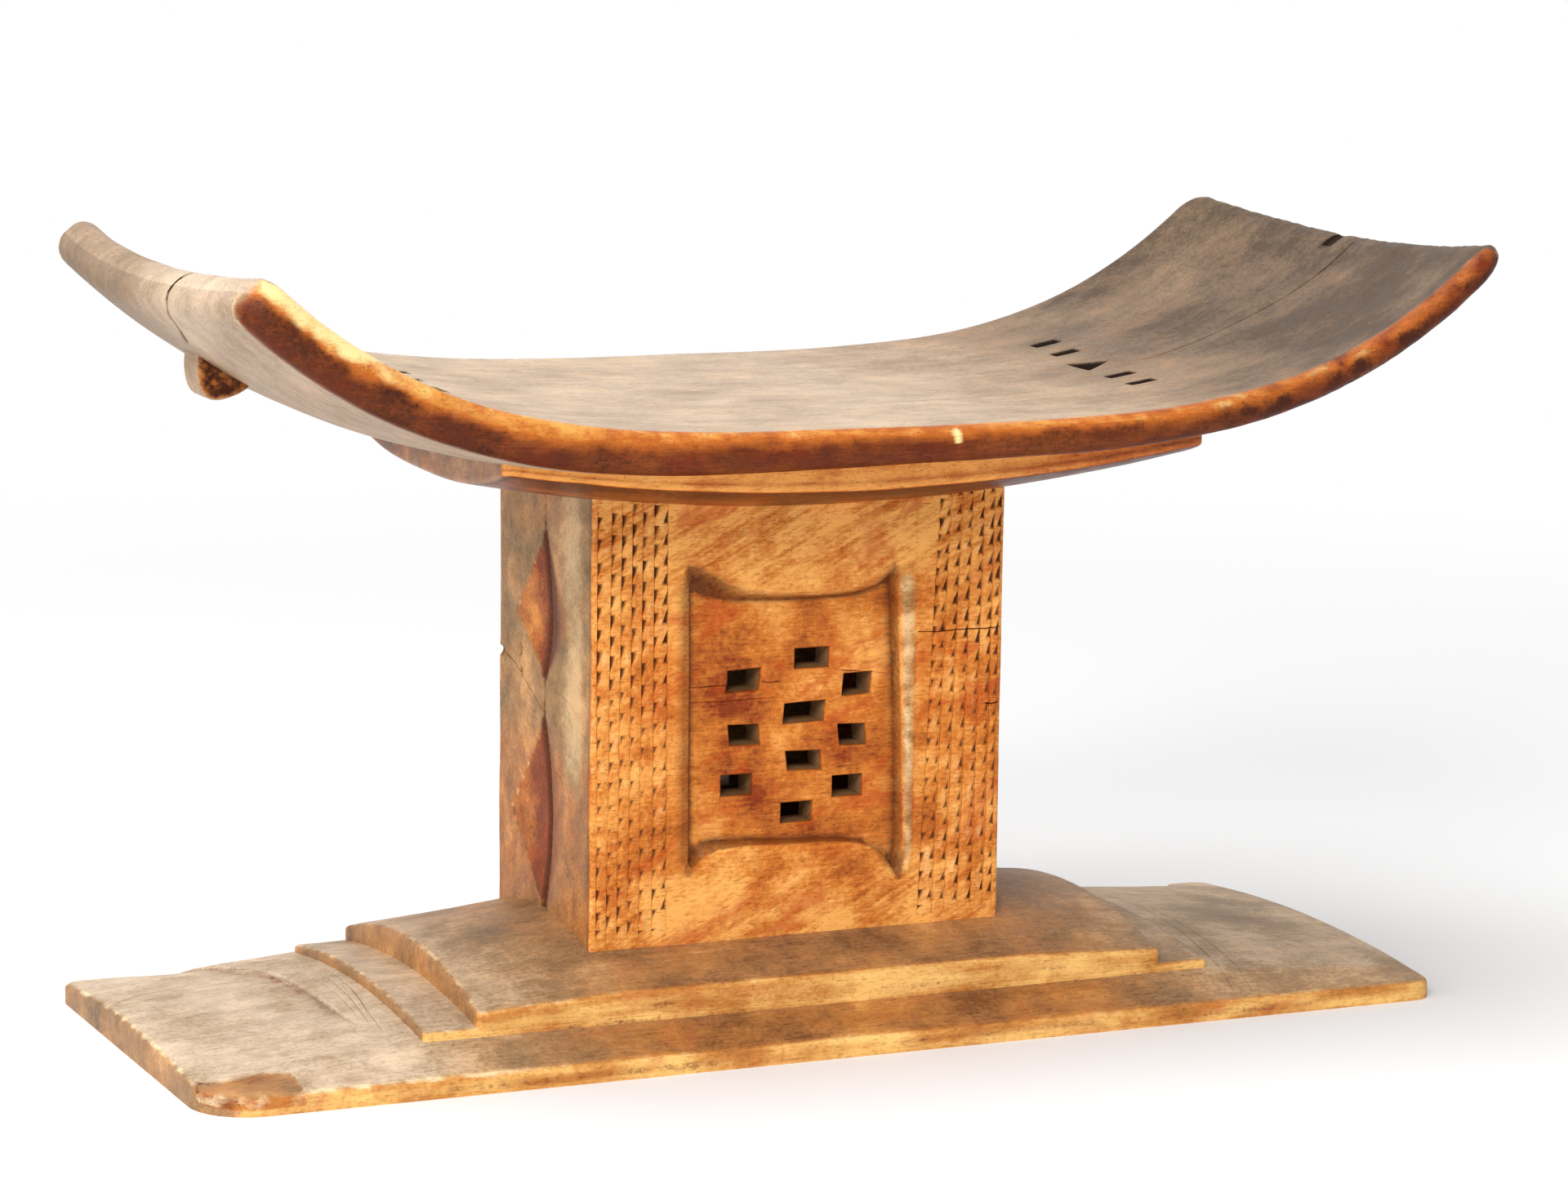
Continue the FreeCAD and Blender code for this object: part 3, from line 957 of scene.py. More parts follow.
        # The band runs from gold on its upper rounding to brown below: partly the wood's colour, partly a painted
        # highlight above and painted shade below, which the dark share deepens.
        gold = 0.56 + 0.16 * cloud + (0.26 + 0.3 * far_right) * fine + 0.18 * ease(x, -100.0, -230.0)
        gold = gold - 0.2 * far_right
        brown = 0.12 + 0.12 * cloud
        middle = ease(x, -150.0, -70.0) * (1 - far_right)
        share = ease(down + 0.12 * middle + 0.14 * cloud + 0.16 * fine, 0.2, 0.62 + 0.1 * far_right)
        tint.warm = np.maximum(tint.warm, 0.95 * band)
        tint.tone = tint.tone * (1 - band) + band * (gold + (brown - gold) * share)
        depth = share * (0.36 + 0.26 * cloud + 0.2 * fine + 0.2 * ease(x, -60.0, -220.0))
        tint.dark = band * (depth + far_right * (0.22 + 0.45 * fine))
        near_top = cut.level < 0.3
        # The golden near-left corner is worn and carries a painted highlight; the pale speckle on the band's upper
        # part is wear with a painted sheen; the line on the underside just behind the front edge is a painted
        # highlight.
        tip = band * ease(x, -195.0, -250.0) * (1 - ease(down, 0.15, 0.55)) * (0.95 + 0.8 * fine)
        worn = 0.4 * band * (1 - share) * ease(fine, 0.05, 0.5)
        lip = ease(np.abs(near - self.lip), 2.2, 0.3) * cut.below
        chip = np.exp(-((x - self.chip) / 1.8) ** 2) * ease(np.abs(near - 1.0), 3.0, 1.0) * near_top
        tint.wear = np.maximum.reduce([tip, worn, 0.5 * lip, chip])
        # The walls of the slots and holes are darkened towards the dirt colour.
        hole = 0.9 * ease(self.holes.gap(cut.plan), 0.9, 0.1)
        marks = self.marks(cut.plan) * (cut.level < 0.5) + self.low_marks(cut.plan) * (cut.level >= 0.5)
        left_split = ease(np.abs(y - self.splits[0]), 1.9, 0.9) * ease(x, -276.0, -280.0)
        right_split = ease(np.abs(y - self.splits[1]), 5.0, 3.4) * ease(x, 271.0, 275.0) * near_top
        tint.dirt = np.maximum.reduce([0.9 * ease(marks, 0.15, 0.9), hole, left_split, right_split])
        return tint


@dataclass
class Shoulder(Board):
    """The thick pad that carries the seat on the column. Its top hides in the seat."""

    name: str = "shoulder_carved"
    slot: str = "shoulder_wood"
    node: str = "seat_shoulder"
    seat: Seat = field(default_factory=Seat)
    length: float = 328.0
    width: float = 204.0
    corners: Corners = Corners.SHOULDER
    edge_reach: float = 2.0
    edge_fall: float = 1.5
    shift: float = -2.0
    edge_level: float = 247.5
    end_rise: float = 13.5
    middle_bulge: float = 15.0
    end_bulge: float = 12.0
    bulge_power: float = 3.0
    tuck: float = 2.0
    rings: Floats = (0.0, 0.3, 0.9, 1.8, 3.0)
    corner_step: float = 2.0
    wall_rows: int = 6

    def low_height(self, places: Array) -> Array:
        """Works out the bulging underside.

        Args:
            places: Plan points.

        Returns:
            Its height at each point.
        """
        share = (places[:, 0] / (self.length / 2)) ** 2
        across = np.abs(places[:, 1]) / (self.width / 2)
        bulge = self.middle_bulge + (self.end_bulge - self.middle_bulge) * share
        return self.edge_level + self.end_rise * share - bulge * (1 - across ** self.bulge_power)

    def cut(self) -> Cut:
        """Builds the shoulder's skins and walls.

        Returns:
            Its points and faces.
        """
        places, corners = self.layout().triangles(lambda at: self.gap(at) > 0)
        along = places + np.array([self.shift, 0])
        x = along[:, 0]
        hidden = self.seat.low_depth(along) / self.seat.ups(x)[:, 2] - self.tuck
        top_height = self.seat.edge_height(x) - hidden
        low_height = self.low_height(places) + self.edge(places)
        top = self.seat.turned(np.column_stack([along, top_height]))
        low = self.seat.turned(np.column_stack([along, low_height]))
        cut = close_skins(places, corners, top, low, self.wall_rows)
        self.roughen(cut)
        return cut

    def tint(self, cut: Cut) -> Tint:
        """Says where the shoulder is warm, dark and worn, with painted shade on its underside and lower walls and a
        painted highlight line beneath.

        Args:
            cut: The shoulder's points.

        Returns:
            The shares.
        """
        x, out = cut.plan[:, 0], np.abs(cut.plan[:, 1])
        cloud = rough(cut.points, 30.0, 4.0)
        streak = rough(cut.points / np.array([6.0, 1.0, 1.0]), 5.0, 7.0)
        end = ease(self.length / 2 - np.abs(x), 5.0, 1.0) * (out < self.width / 2 - 4)
        end *= ease(x, 0.0, -60.0)
        # The underside and the lower part of the walls are darkened as painted shade; pale is a painted highlight
        # line on the underside along the column's top edges.
        below = cut.below * ease(self.gap(cut.plan), 0.5, 2.0)
        lip = ease(cut.level, 0.62, 0.76) * ease(cut.level, 1.0, 0.92) * (1 - end)
        pale = ease(out, 60.0, 52.0) * ease(out, 44.0, 50.0) * below
        right = ease(x, 20.0, 150.0)
        tint = Tint.plain(len(cut.points))
        side = 0.94 - 0.36 * right + 0.2 * cloud + 0.26 * streak
        tint.tone = side - 0.78 * below - 0.3 * lip * (cut.level > 0.6) - 0.46 * end
        tint.warm = 1.0 - 0.7 * end - 0.1 * below
        tint.dark = np.maximum(0.62 * below * ease(out, 62.0, 100.0), 0.25 * lip)
        tint.wear = np.maximum(0.35 * ease(cloud + streak, 0.2, 0.8) * (1 - below) * (1 - end), 0.5 * pale)
        return tint


@dataclass
class Lug(Carved):
    """The small rounded lug under the seat's left end."""

    name: str = "lug_carved"
    slot: str = "end_grain_wood"
    node: str = "end_lug"
    seat: Seat = field(default_factory=Seat)
    inset: float = 38.0
    length: float = 27.0
    width: float = 21.0
    depth: float = 13.0
    tuck: float = 5.0
    nose_power: float = 0.8
    nose_steps: int = 12
    edge_reach: float = 2.2
    edge_fall: float = 1.8
    rings: Floats = (1.0, 0.97, 0.9)
    ring_step: float = 2.0
    spacing: float = 1.5
    wall_rows: int = 6
    ripple: float = 0.25
    ripple_draw: Draw = (12.0, 3.0)

    @cached_property
    def outline(self) -> list[Point]:
        """Draws the lug's side, with its round nose down.

        Returns:
            Its corners.
        """
        half = self.length / 2
        shares = [k / self.nose_steps for k in range(self.nose_steps + 1)]
        nose = [(-half + self.length * s, self.depth * math.sin(math.pi * s) ** self.nose_power) for s in shares]
        return [*nose, (half, -self.tuck), (-half, -self.tuck)]

    def cut(self) -> Cut:
        """Builds the lug, square to the seat's curl.

        Returns:
            Its points and faces.
        """
        plan = Plan()
        middle = np.array((0.0, self.depth / 3))
        for shrink in self.rings:
            loop = [tuple(middle + (np.array(point) - middle) * shrink) for point in self.outline]
            plan.path(loop, self.ring_step, closed=True)
        plan.fill(self.spacing, (-self.length / 2, -self.tuck), (self.length / 2, self.depth))
        places, corners = plan.triangles(lambda at: outline_gap(at, self.outline) > 0)
        start = np.array([self.inset - self.seat.length / 2])
        up = self.seat.ups(start)[0]
        along = np.array([up[2], 0, -up[0]])
        fall = self.seat.thickness(start)[0] + self.seat.left_bulge
        root = np.array([start[0], 0, self.seat.edge_height(start)[0]]) - up * fall
        flat = root + places[:, :1] * along - places[:, 1:] * up
        rounding = edge_drop(outline_gap(places, self.outline), self.edge_reach, self.edge_fall)
        near = flat + np.outer(rounding - self.width / 2, (0, 1, 0))
        far = flat + np.outer(self.width / 2 - rounding, (0, 1, 0))
        cut = close_skins(places, corners, self.seat.turned(near), self.seat.turned(far), self.wall_rows)
        cut.faces = [face[::-1] for face in cut.faces] if self.inward(cut) else cut.faces
        self.roughen(cut)
        return cut

    def inward(self, cut: Cut) -> bool:
        """Says whether a piece's faces look inward."""
        outward = cut.points - cut.points.mean(axis=0)
        return float((outward * cut.normals()).sum()) < 0

    def tint(self, cut: Cut) -> Tint:
        """Says where the lug is warm and dark.

        Args:
            cut: The lug's points.

        Returns:
            The shares.
        """
        tint = Tint.plain(len(cut.points), 0.3, 0.6)
        face = cut.upper * ease(outline_gap(cut.plan, self.outline), 0.4, 1.4)
        tint.dark = face * (0.8 + 0.5 * rough(cut.points, 3.5, 2.0))
        tint.warm = 0.2 + 0.7 * face
        return tint


@dataclass
class BaseMember(Board):
    """A crowned board of the base, with a hidden or flat underside."""

    name: str = "plank_carved"
    slot: str = "base_wood"
    node: str = "base_plank"
    middle: float = 0.0
    floor: float = 0.0
    stain_places: tuple[tuple[float, float, float, float], ...] = ()

    def top_height(self, places: Array) -> Array:
        """Gives the height of the top at plan points, before its edges are worn."""
        raise NotImplementedError

    def cut(self) -> Cut:
        """Builds the board's skins and walls.

        Returns:
            The board's points and faces.
        """
        places, corners = self.layout().triangles(lambda at: self.gap(at) > 0)
        frame_places = places + np.array([self.middle, 0])
        height = self.top_height(frame_places) - self.edge(places) - self.marks(places)
        top = np.column_stack([frame_places, height])
        low = np.column_stack([frame_places, np.full(len(places), self.floor)])
        cut = close_skins(places, corners, top, low, self.wall_rows)
        self.roughen(cut, ease(cut.points[:, 2], 2.0, 0.5) if self.floor == 0 else None)
        return cut

    def tint(self, cut: Cut) -> Tint:
        """Says where the board is warm, dark, worn and dirty; its worn lips are partly a painted highlight.

        Args:
            cut: The board's points.

        Returns:
            The shares.
        """
        x, y, gap = cut.plan[:, 0], cut.plan[:, 1], self.gap(cut.plan)
        tint = Tint.plain(len(cut.points))
        cloud, fine = rough(cut.points, 30.0, 12.0), rough(cut.points, 7.0, 14.0)
        streak = rough(cut.points / np.array([7.0, 1.0, 1.0]), 5.0, 17.0)
        left, right = ease(cut.points[:, 0], -60.0, -220.0), ease(cut.points[:, 0], 100.0, 200.0)
        bevel = ease(self.width / 2 + y, 26.0, 18.0) * ease(cut.points[:, 0], -215.0, -170.0) * (self.floor == 0)
        tint.tone = 0.34 + 0.42 * left + 0.26 * right + (0.22 - 0.1 * left) * cloud + 0.06 * fine - 0.08 * bevel
        tint.warm = 0.5 - 0.42 * left - 0.32 * right + 0.14 * cloud + 0.14 * bevel
        wall = ease(gap, 2.4, 0.6)
        long_side = ease(self.width / 2 - np.abs(y), 4.0, 1.0)
        side_tone = 0.7 + (0.12 + 0.3 * long_side) * streak + 0.16 * cloud
        tint.warm += wall * (0.75 * long_side + 0.3 * (1 - long_side))
        tint.tone = tint.tone * (1 - wall) + wall * side_tone - 0.34 * (wall * (1 - long_side))
        marks = self.marks(cut.plan) * (cut.level < 0.5)
        broken = ease(marks, 1.1, 1.5) * (gap < 30) * (y < 0) * (x < -240)
        edge = ease(np.abs(marks - 0.9), 0.6, 0.1) * (broken < 0.9) * (x < -245) * (y < -80)
        # The worn lip along the top edges is lighter towards the left and the near side, partly a painted
        # highlight.
        lip = ease(np.abs(gap - 1.4), 1.8, 0.3) * (cut.level < 0.2)
        near = ease(y, -self.width / 2 + 12, -self.width / 2 + 5)
        tint.wear = lip * ease(fine, -0.5, 0.5) * np.maximum(0.3 + 0.4 * left, (0.3 + 0.45 * left) * near)
        tint.wear = tint.wear * (1 - broken) + 0.6 * broken * ease(gap, 8.0, 3.0) * ease(fine, -0.5, 0.4)
        tint.dirt = 0.46 * ease(marks, 0.2, 0.9) * (1 - broken)
        tint.dark = np.maximum(0.85 * edge, broken * ease(gap, 4.0, 10.0) * (0.3 + 0.4 * fine)) + self.stains(cut)
        tint.warm += 0.45 * broken
        tint.tone -= 0.3 * broken
        blots = 0.3 * ease(cloud + fine, 0.45, 0.9) * (1 - wall)
        tint.dark = np.maximum.reduce([tint.dark, blots, self.shade(cut.points) * (0.5 + 0.4 * fine)])
        return tint

    def shade(self, points: Array) -> Array:
        """Gives the brown shade along a low terrace, where the board has one."""
        return np.zeros(len(points))

    def stains(self, cut: Cut) -> Array:
        """Spreads the red-brown stains along the near side.

        Args:
            cut: The board's points.

        Returns:
            How dark they make each point.
        """
        x, z = cut.points[:, 0], cut.points[:, 2]
        near = ease(self.width / 2 + cut.plan[:, 1], 2.5, 0.5)
        total = np.zeros(len(x))
        for low, high, height, reach in self.stain_places:
            span = ease(x, low - 3, low + 6) * ease(x, high + 3, high - 6)
            total = np.maximum(total, span * ease(np.abs(z - height), reach, 0.3))
        return near * total * (0.42 + 0.4 * rough(cut.points, 5.0, 27.0))


@dataclass
class Plank(BaseMember):
    """The wide plank that stands on the floor."""

    rim: float = 8.5
    bevel: float = 23.0
    end_bevel_height: float = 10.5
    middle_bevel_height: float = 18.5
    end_crown: float = 14.5
    middle_crown: float = 25.0
    steps_half: float = 188.5
    steps_shift: float = -2.0
    terrace: float = 1.7
    ridge_depths: Floats = (-60.0, -40.0, 0.0, 40.0, 76.0, 111.0)
    ridge_places: Floats = (-209.0, -211.0, -212.0, -215.0, -226.0, -236.0)

    def top_height(self, places: Array) -> Array:
        """Works out the bevelled and crowned top.

        Args:
            places: Plan points.

        Returns:
            Its height at each point.
        """
        x, y = places[:, 0], places[:, 1]
        half = self.length / 2
        out = np.abs(x - self.steps_shift * (1 - np.abs(x) / half))
        share = np.clip((half - out) / (half - self.steps_half), 0, 1)
        foot = self.end_bevel_height + (self.middle_bevel_height - self.end_bevel_height) * share
        crown = self.end_crown + (self.middle_crown - self.end_crown) * share
        flat = self.width / 2 - self.bevel
        across = np.abs(y)
        inner = foot + (crown - foot) * (1 - np.clip(across / flat, 0, 1) ** 2)
        outer = self.rim + (foot - self.rim) * np.clip((self.width / 2 - across) / self.bevel, 0, 1)
        past_ridge = ease(x - self.ridge(places), 1.2, -1.2)
        terrace = self.terrace * past_ridge * ease(y, -58.0, -20.0)
        terrace *= ease(x, -290.0, -235.0)
        return np.where(across < flat, inner, outer) - terrace

    def ridge(self, places: Array) -> Array:
        """Gives the terrace's place along the plank, at the depth of some points."""
        return np.interp(places[:, 1], self.ridge_depths, self.ridge_places)

    def shade(self, points: Array) -> Array:
        """Gives the brown shade at the terrace's foot."""
        past = self.ridge(points) - points[:, 0]
        return ease(past, 8.0, 1.0) * ease(past, -1.0, 0.5) * ease(points[:, 1], -62.0, -20.0)


@dataclass
class Step(BaseMember):
    """One of the two steps under the column."""

    name: str = "lower_step_carved"
    node: str = "lower_step"
    middle: float = -2.0
    length: float = 377.0
    width: float = 175.0
    corners: Corners = Corners.STEP
    floor: float = 17.0
    edge_reach: float = 2.6
    edge_fall: float = 1.6
    end_edge: float = 22.0
    end_crown: float = 29.5
    foot_edge: float = 22.0
    foot_crown: float = 29.5
    foot_half: float = 98.75

    def top_height(self, places: Array) -> Array:
        """Works out the crowned top, which may rise to the column's foot.

        Args:
            places: Plan points.

        Returns:
            Its height at each point.
        """
        out = np.abs(places[:, 0] - self.middle)
        share = np.clip((self.length / 2 - out) / (self.length / 2 - self.foot_half), 0, 1)
        edge = self.end_edge + (self.foot_edge - self.end_edge) * share
        crown = self.end_crown + (self.foot_crown - self.end_crown) * share
        return edge + (crown - edge) * (1 - (places[:, 1] / (self.width / 2)) ** 2)


@dataclass(frozen=True)
class Notch:
    """A small three-cornered nick, deepest near its square corner.

    A negative height points down, and a negative width lies to the left.
    """

    x: float
    z: float
    width: float
    height: float
    depth: float
    pit_place: Point = (0.3, 0.2)
    fullness: float = 0.6

    def corners(self) -> list[Point]:
        """Gives its corners."""
        return [(self.x, self.z), (self.x + self.width, self.z), (self.x, self.z + self.height)]

    def pit(self) -> Point:
        """Gives its deepest point."""
        return (self.x + self.pit_place[0] * self.width, self.z + self.pit_place[1] * self.height)

    def depths(self, places: Array) -> Array:
        """Measures the nick.

        Args:
            places: Plan points.

        Returns:
            Its depth at each point.
        """
        corners = np.array(self.corners())
        pit = np.array(self.pit())
        share = np.full(len(places), np.inf)
        for start, end in zip(corners, np.roll(corners, -1, axis=0)):
            across = np.array([start[1] - end[1], end[0] - start[0]])
            share = np.minimum(share, (places - start) @ across / ((pit - start) @ across))
        return self.depth * np.clip(share, 0, 1) ** self.fullness


@dataclass(frozen=True)
class NotchBand:
    """Rows of notches hung on upright scribed lines, each a top, a foot and whether its notches point up."""

    lines: tuple[tuple[float, float, bool], ...]
    pitch: float
    head: float = 238.5
    foot: float = 49.0
    crisp: Floats = (238.0, 168.0, 150.0, 96.0, 62.0, 46.0)
    strength: Floats = (1.0, 1.0, 0.5, 0.45, 0.75, 1.0)
    notch_width: Draw = (2.7, 3.6)
    notch_height: Draw = (6.4, 8.0)
    notch_depth: float = 1.5
    first_shift: Draw = (0.0, 0.6)
    pitch_share: Draw = (0.86, 1.12)
    strength_share: Draw = (0.7, 1.1)
    overhang: Draw = (1.5, 6.5)
    scribe: Point = (0.55, 0.4)
    scribe_points: int = 12
    seed: int = 4

    def place(self, line: int, z: float) -> float:
        """Gives where a line runs at a height."""
        top, low, _ = self.lines[line]
        return low + (top - low) * (z - self.foot) / (self.head - self.foot)

    def notches(self) -> list[Notch]:
        """Sets out the notches, each a little different.

        Returns:
            The notches.
        """
        draw = np.random.default_rng(self.seed)
        made = []
        for line, (_, _, up) in enumerate(self.lines):
            z = self.head + self.overhang[0] - draw.uniform(*self.first_shift) * self.pitch
            while z > self.foot + self.overhang[0]:
                way = 1 if up else -1
                strength = float(np.interp(-z, [-at for at in self.crisp], self.strength))
                strength *= draw.uniform(*self.strength_share)
                width = -way * draw.uniform(*self.notch_width)
                room = self.head + self.overhang[1] - z if up else z - self.foot
                height = way * min(draw.uniform(*self.notch_height), room)
                made.append(Notch(self.place(line, z), z, width, height, self.notch_depth * strength))
                z -= self.pitch * draw.uniform(*self.pitch_share)
        return made

    def pillow(self, x: Array, z: Array) -> Array:
        """Swells the wood between the scribed lines.

        Args:
            x: Places along the front.
            z: Heights.

        Returns:
            The swell at each place, from 0 to 1.
        """
        share = (z - self.foot) / (self.head - self.foot)
        lines = [low + (top - low) * share for top, low, _ in sorted(self.lines)]
        swell = np.zeros(len(x))
        for first, second in zip(lines, lines[1:]):
            across = np.clip((x - first) / (second - first), 0, 1)
            swell = np.maximum(swell, 4 * across * (1 - across))
        return swell * ease(z, self.foot - 3, self.foot)

    def scribes(self) -> list[Groove]:
        """Draws the upright scribed lines, each a little unsteady.

        Returns:
            The lines.
        """
        made = []
        for line in range(len(self.lines)):
            path = [(self.place(line, z) + 0.15 * math.sin(z / 9 + line), z)
                    for z in np.linspace(self.foot - 1, self.head, self.scribe_points)]
            made.append(Groove(path, *self.scribe, tail=0.8))
        return made


LEFT_BAND = NotchBand(((-100.3, -99.9, False), (-93.6, -95.3, False), (-88.8, -90.3, False), (-83.9, -85.3, False),
                       (-79.1, -80.0, False), (-73.9, -73.8, False), (-67.6, -66.9, True)), 9.4)
RIGHT_BAND = NotchBand(((62.7, 54.9, False), (68.4, 61.9, True), (73.9, 68.0, True), (79.1, 74.8, True),
                        (84.8, 81.3, True), (89.8, 87.4, True), (93.3, 91.7, True)), 8.4,
                       strength=(0.95, 1.0, 0.65, 0.55, 0.9, 1.0), seed=9)


@dataclass
class Panel:
    """The sunken panel with four horns, and the places of its holes."""

    rim: tuple[Point, ...] = (
        (-57.4, 209.8), (-57.2, 190.0), (-57.0, 141.0), (-56.6, 90.0), (-56.4, 74.6), (-49.0, 81.0), (-41.7, 84.3),
        (-27.0, 85.0), (-8.6, 84.1), (9.8, 83.6), (24.5, 82.2), (31.8, 79.9), (39.2, 74.2), (45.6, 65.2),
        (46.9, 85.0), (45.1, 141.0), (42.8, 190.0), (41.2, 204.6), (32.9, 198.1), (22.5, 195.5), (5.1, 194.7),
        (-19.2, 195.8), (-29.6, 197.2), (-39.2, 200.6), (-47.0, 205.1), (-53.9, 208.9),
    )
    floor: tuple[Point, ...] = (
        (-55.4, 202.4), (-55.2, 190.0), (-54.9, 141.0), (-54.5, 90.0), (-54.2, 79.5), (-49.2, 86.2), (-42.2, 87.1),
        (-20.1, 86.4), (-1.7, 85.2), (16.7, 84.2), (27.7, 82.4), (35.0, 77.6), (43.6, 70.6),
        (45.0, 85.0), (43.6, 141.0), (41.2, 190.0), (39.6, 199.5), (31.0, 195.4), (20.2, 193.2), (2.8, 192.8),
        (-14.6, 193.4), (-31.9, 194.2), (-42.3, 195.4), (-51.0, 197.9),
    )
    depth: float = 5.5
    crest: float = 4.5
    brim: float = 0.9
    middle: Point = (-7.0, 140.0)
    rings: Floats = (1.2, 3.0)
    bead_height: float = 1.1
    bead_shares: Floats = (0.25, 0.5, 0.78)
    bead_heights: Floats = (65.0, 85.0, 141.0, 190.0, 205.0)
    bead_starts: Floats = (45.6, 46.9, 45.1, 42.8, 41.2)
    bead_end: float = 51.9
    hole_lean: float = 0.5
    hole_rings: Floats = (0.0, 0.5, 1.3)
    hole_places: tuple[tuple[float, float, float, float], ...] = (
        (4.1, 166.0, 16.4, 8.8), (0.7, 141.7, 19.5, 9.0), (0.8, 120.1, 17.0, 8.9), (-2.4, 97.1, 15.4, 9.4),
        (-28.8, 157.8, 15.8, 9.7), (-28.1, 133.4, 14.8, 9.3), (-31.6, 111.2, 15.2, 9.7),
        (26.2, 153.1, 13.4, 9.7), (24.2, 130.3, 13.0, 9.3), (22.1, 107.3, 14.7, 9.7),
    )

    def depths(self, places: Array) -> Array:
        """Measures the sunken panel, its rounded brim and its bead.

        Args:
            places: Plan points.

        Returns:
            The depth at each point.
        """
        inside = outline_gap(places, self.rim)
        outside = -outline_gap(places, self.floor)
        wall = np.clip(inside, 0, None) / np.maximum(np.clip(inside, 0, None) + np.clip(outside, 0, None), 1e-6)
        brim = self.brim * np.clip(1 + inside / self.crest, 0, 1) ** 2 * (inside <= 0)
        sunk = self.brim + (self.depth - self.brim) * wall
        return np.where(inside > 0, sunk, brim - self.bead_height * self.bead(places))

    def bead(self, places: Array) -> Array:
        """Shapes the rounded bead at the panel's right.

        Args:
            places: Plan points.

        Returns:
            How far it swells at each point, from 0 to 1.
        """
        x, z = places[:, 0], places[:, 1]
        start = np.interp(z, self.bead_heights, self.bead_starts)
        share = np.clip((x - start) / (self.bead_end - start), 0, 1)
        return np.sin(math.pi * share) * ease(z, 62.0, 78.0) * ease(z, 210.0, 196.0)

    def guides(self) -> list[Line]:
        """Draws the lines that the triangles keep to.

        Returns:
            The rim, the floor, rings outside the rim and runs along the bead.
        """
        rim = np.array(self.rim)
        away = (rim - np.array(self.middle)) / np.linalg.norm(rim - np.array(self.middle), axis=1)[:, None]
        loops = [self.rim, self.floor, *[[tuple(point) for point in rim + away * grow] for grow in self.rings]]
        bead = list(zip(self.bead_starts, self.bead_heights))
        runs = [[(start + (self.bead_end - start) * share, z) for start, z in bead] for share in self.bead_shares]
        return [*[[*loop, loop[0]] for loop in loops], *runs]

    @cached_property
    def holes(self) -> Holes:
        """Draws the pierced holes, each a little out of true.

        Returns:
            The holes.
        """
        outlines = []
        for index, (x, z, width, height) in enumerate(self.hole_places):
            lean = self.hole_lean * math.sin(index * 2.1)
            outlines.append([(x + sx * width / 2 + lean * sz, z + sz * height / 2 + 0.6 * lean * sx)
                             for sx, sz in SIGNS])
        return Holes(tuple(outlines), reach=1.4, drop=0.8, rings=self.hole_rings, spans=(7.0, 5.0), step=2.0)


@dataclass(frozen=True)
class Lozenge:
    """A four-cornered hollow that is crisp behind its valley and soft before it."""

    head: float
    middle: float
    foot: float
    reach: float
    near_reach: float
    depth: float
    valley: float = VALLEY

    def share(self, z: Array) -> Array:
        """Gives 0 at the hollow's middle and 1 at its upper and lower tips."""
        reach = np.where(z > self.middle, self.head - self.middle, self.middle - self.foot)
        return np.abs(z - self.middle) / reach

    def depths(self, places: Array) -> Array:
        """Measures the hollow.

        Args:
            places: Points across and up the cheek.

        Returns:
            Its depth at each point.
        """
        share = np.clip(self.share(places[:, 1]), 0, 1)
        across = places[:, 0] - self.valley
        deepest = self.depth * (1 - share ** 1.7) ** 0.9
        far = np.clip(1 - across / np.maximum(self.reach * (1 - share), 0.05), 0, 1)
        near = np.clip(1 + across / self.near_reach, 0, 1) ** 2
        return deepest * np.where(across > 0, far, near)

    def guides(self) -> list[Line]:
        """Gives the crisp edge and the valley."""
        tips = [(self.valley, self.head), (self.valley + self.reach, self.middle), (self.valley, self.foot)]
        return [tips, [tips[0], tips[2]]]


class Side(Enum):
    """Which way a cheek lies from the column's middle, along X."""

    LEFT = -1
    RIGHT = 1


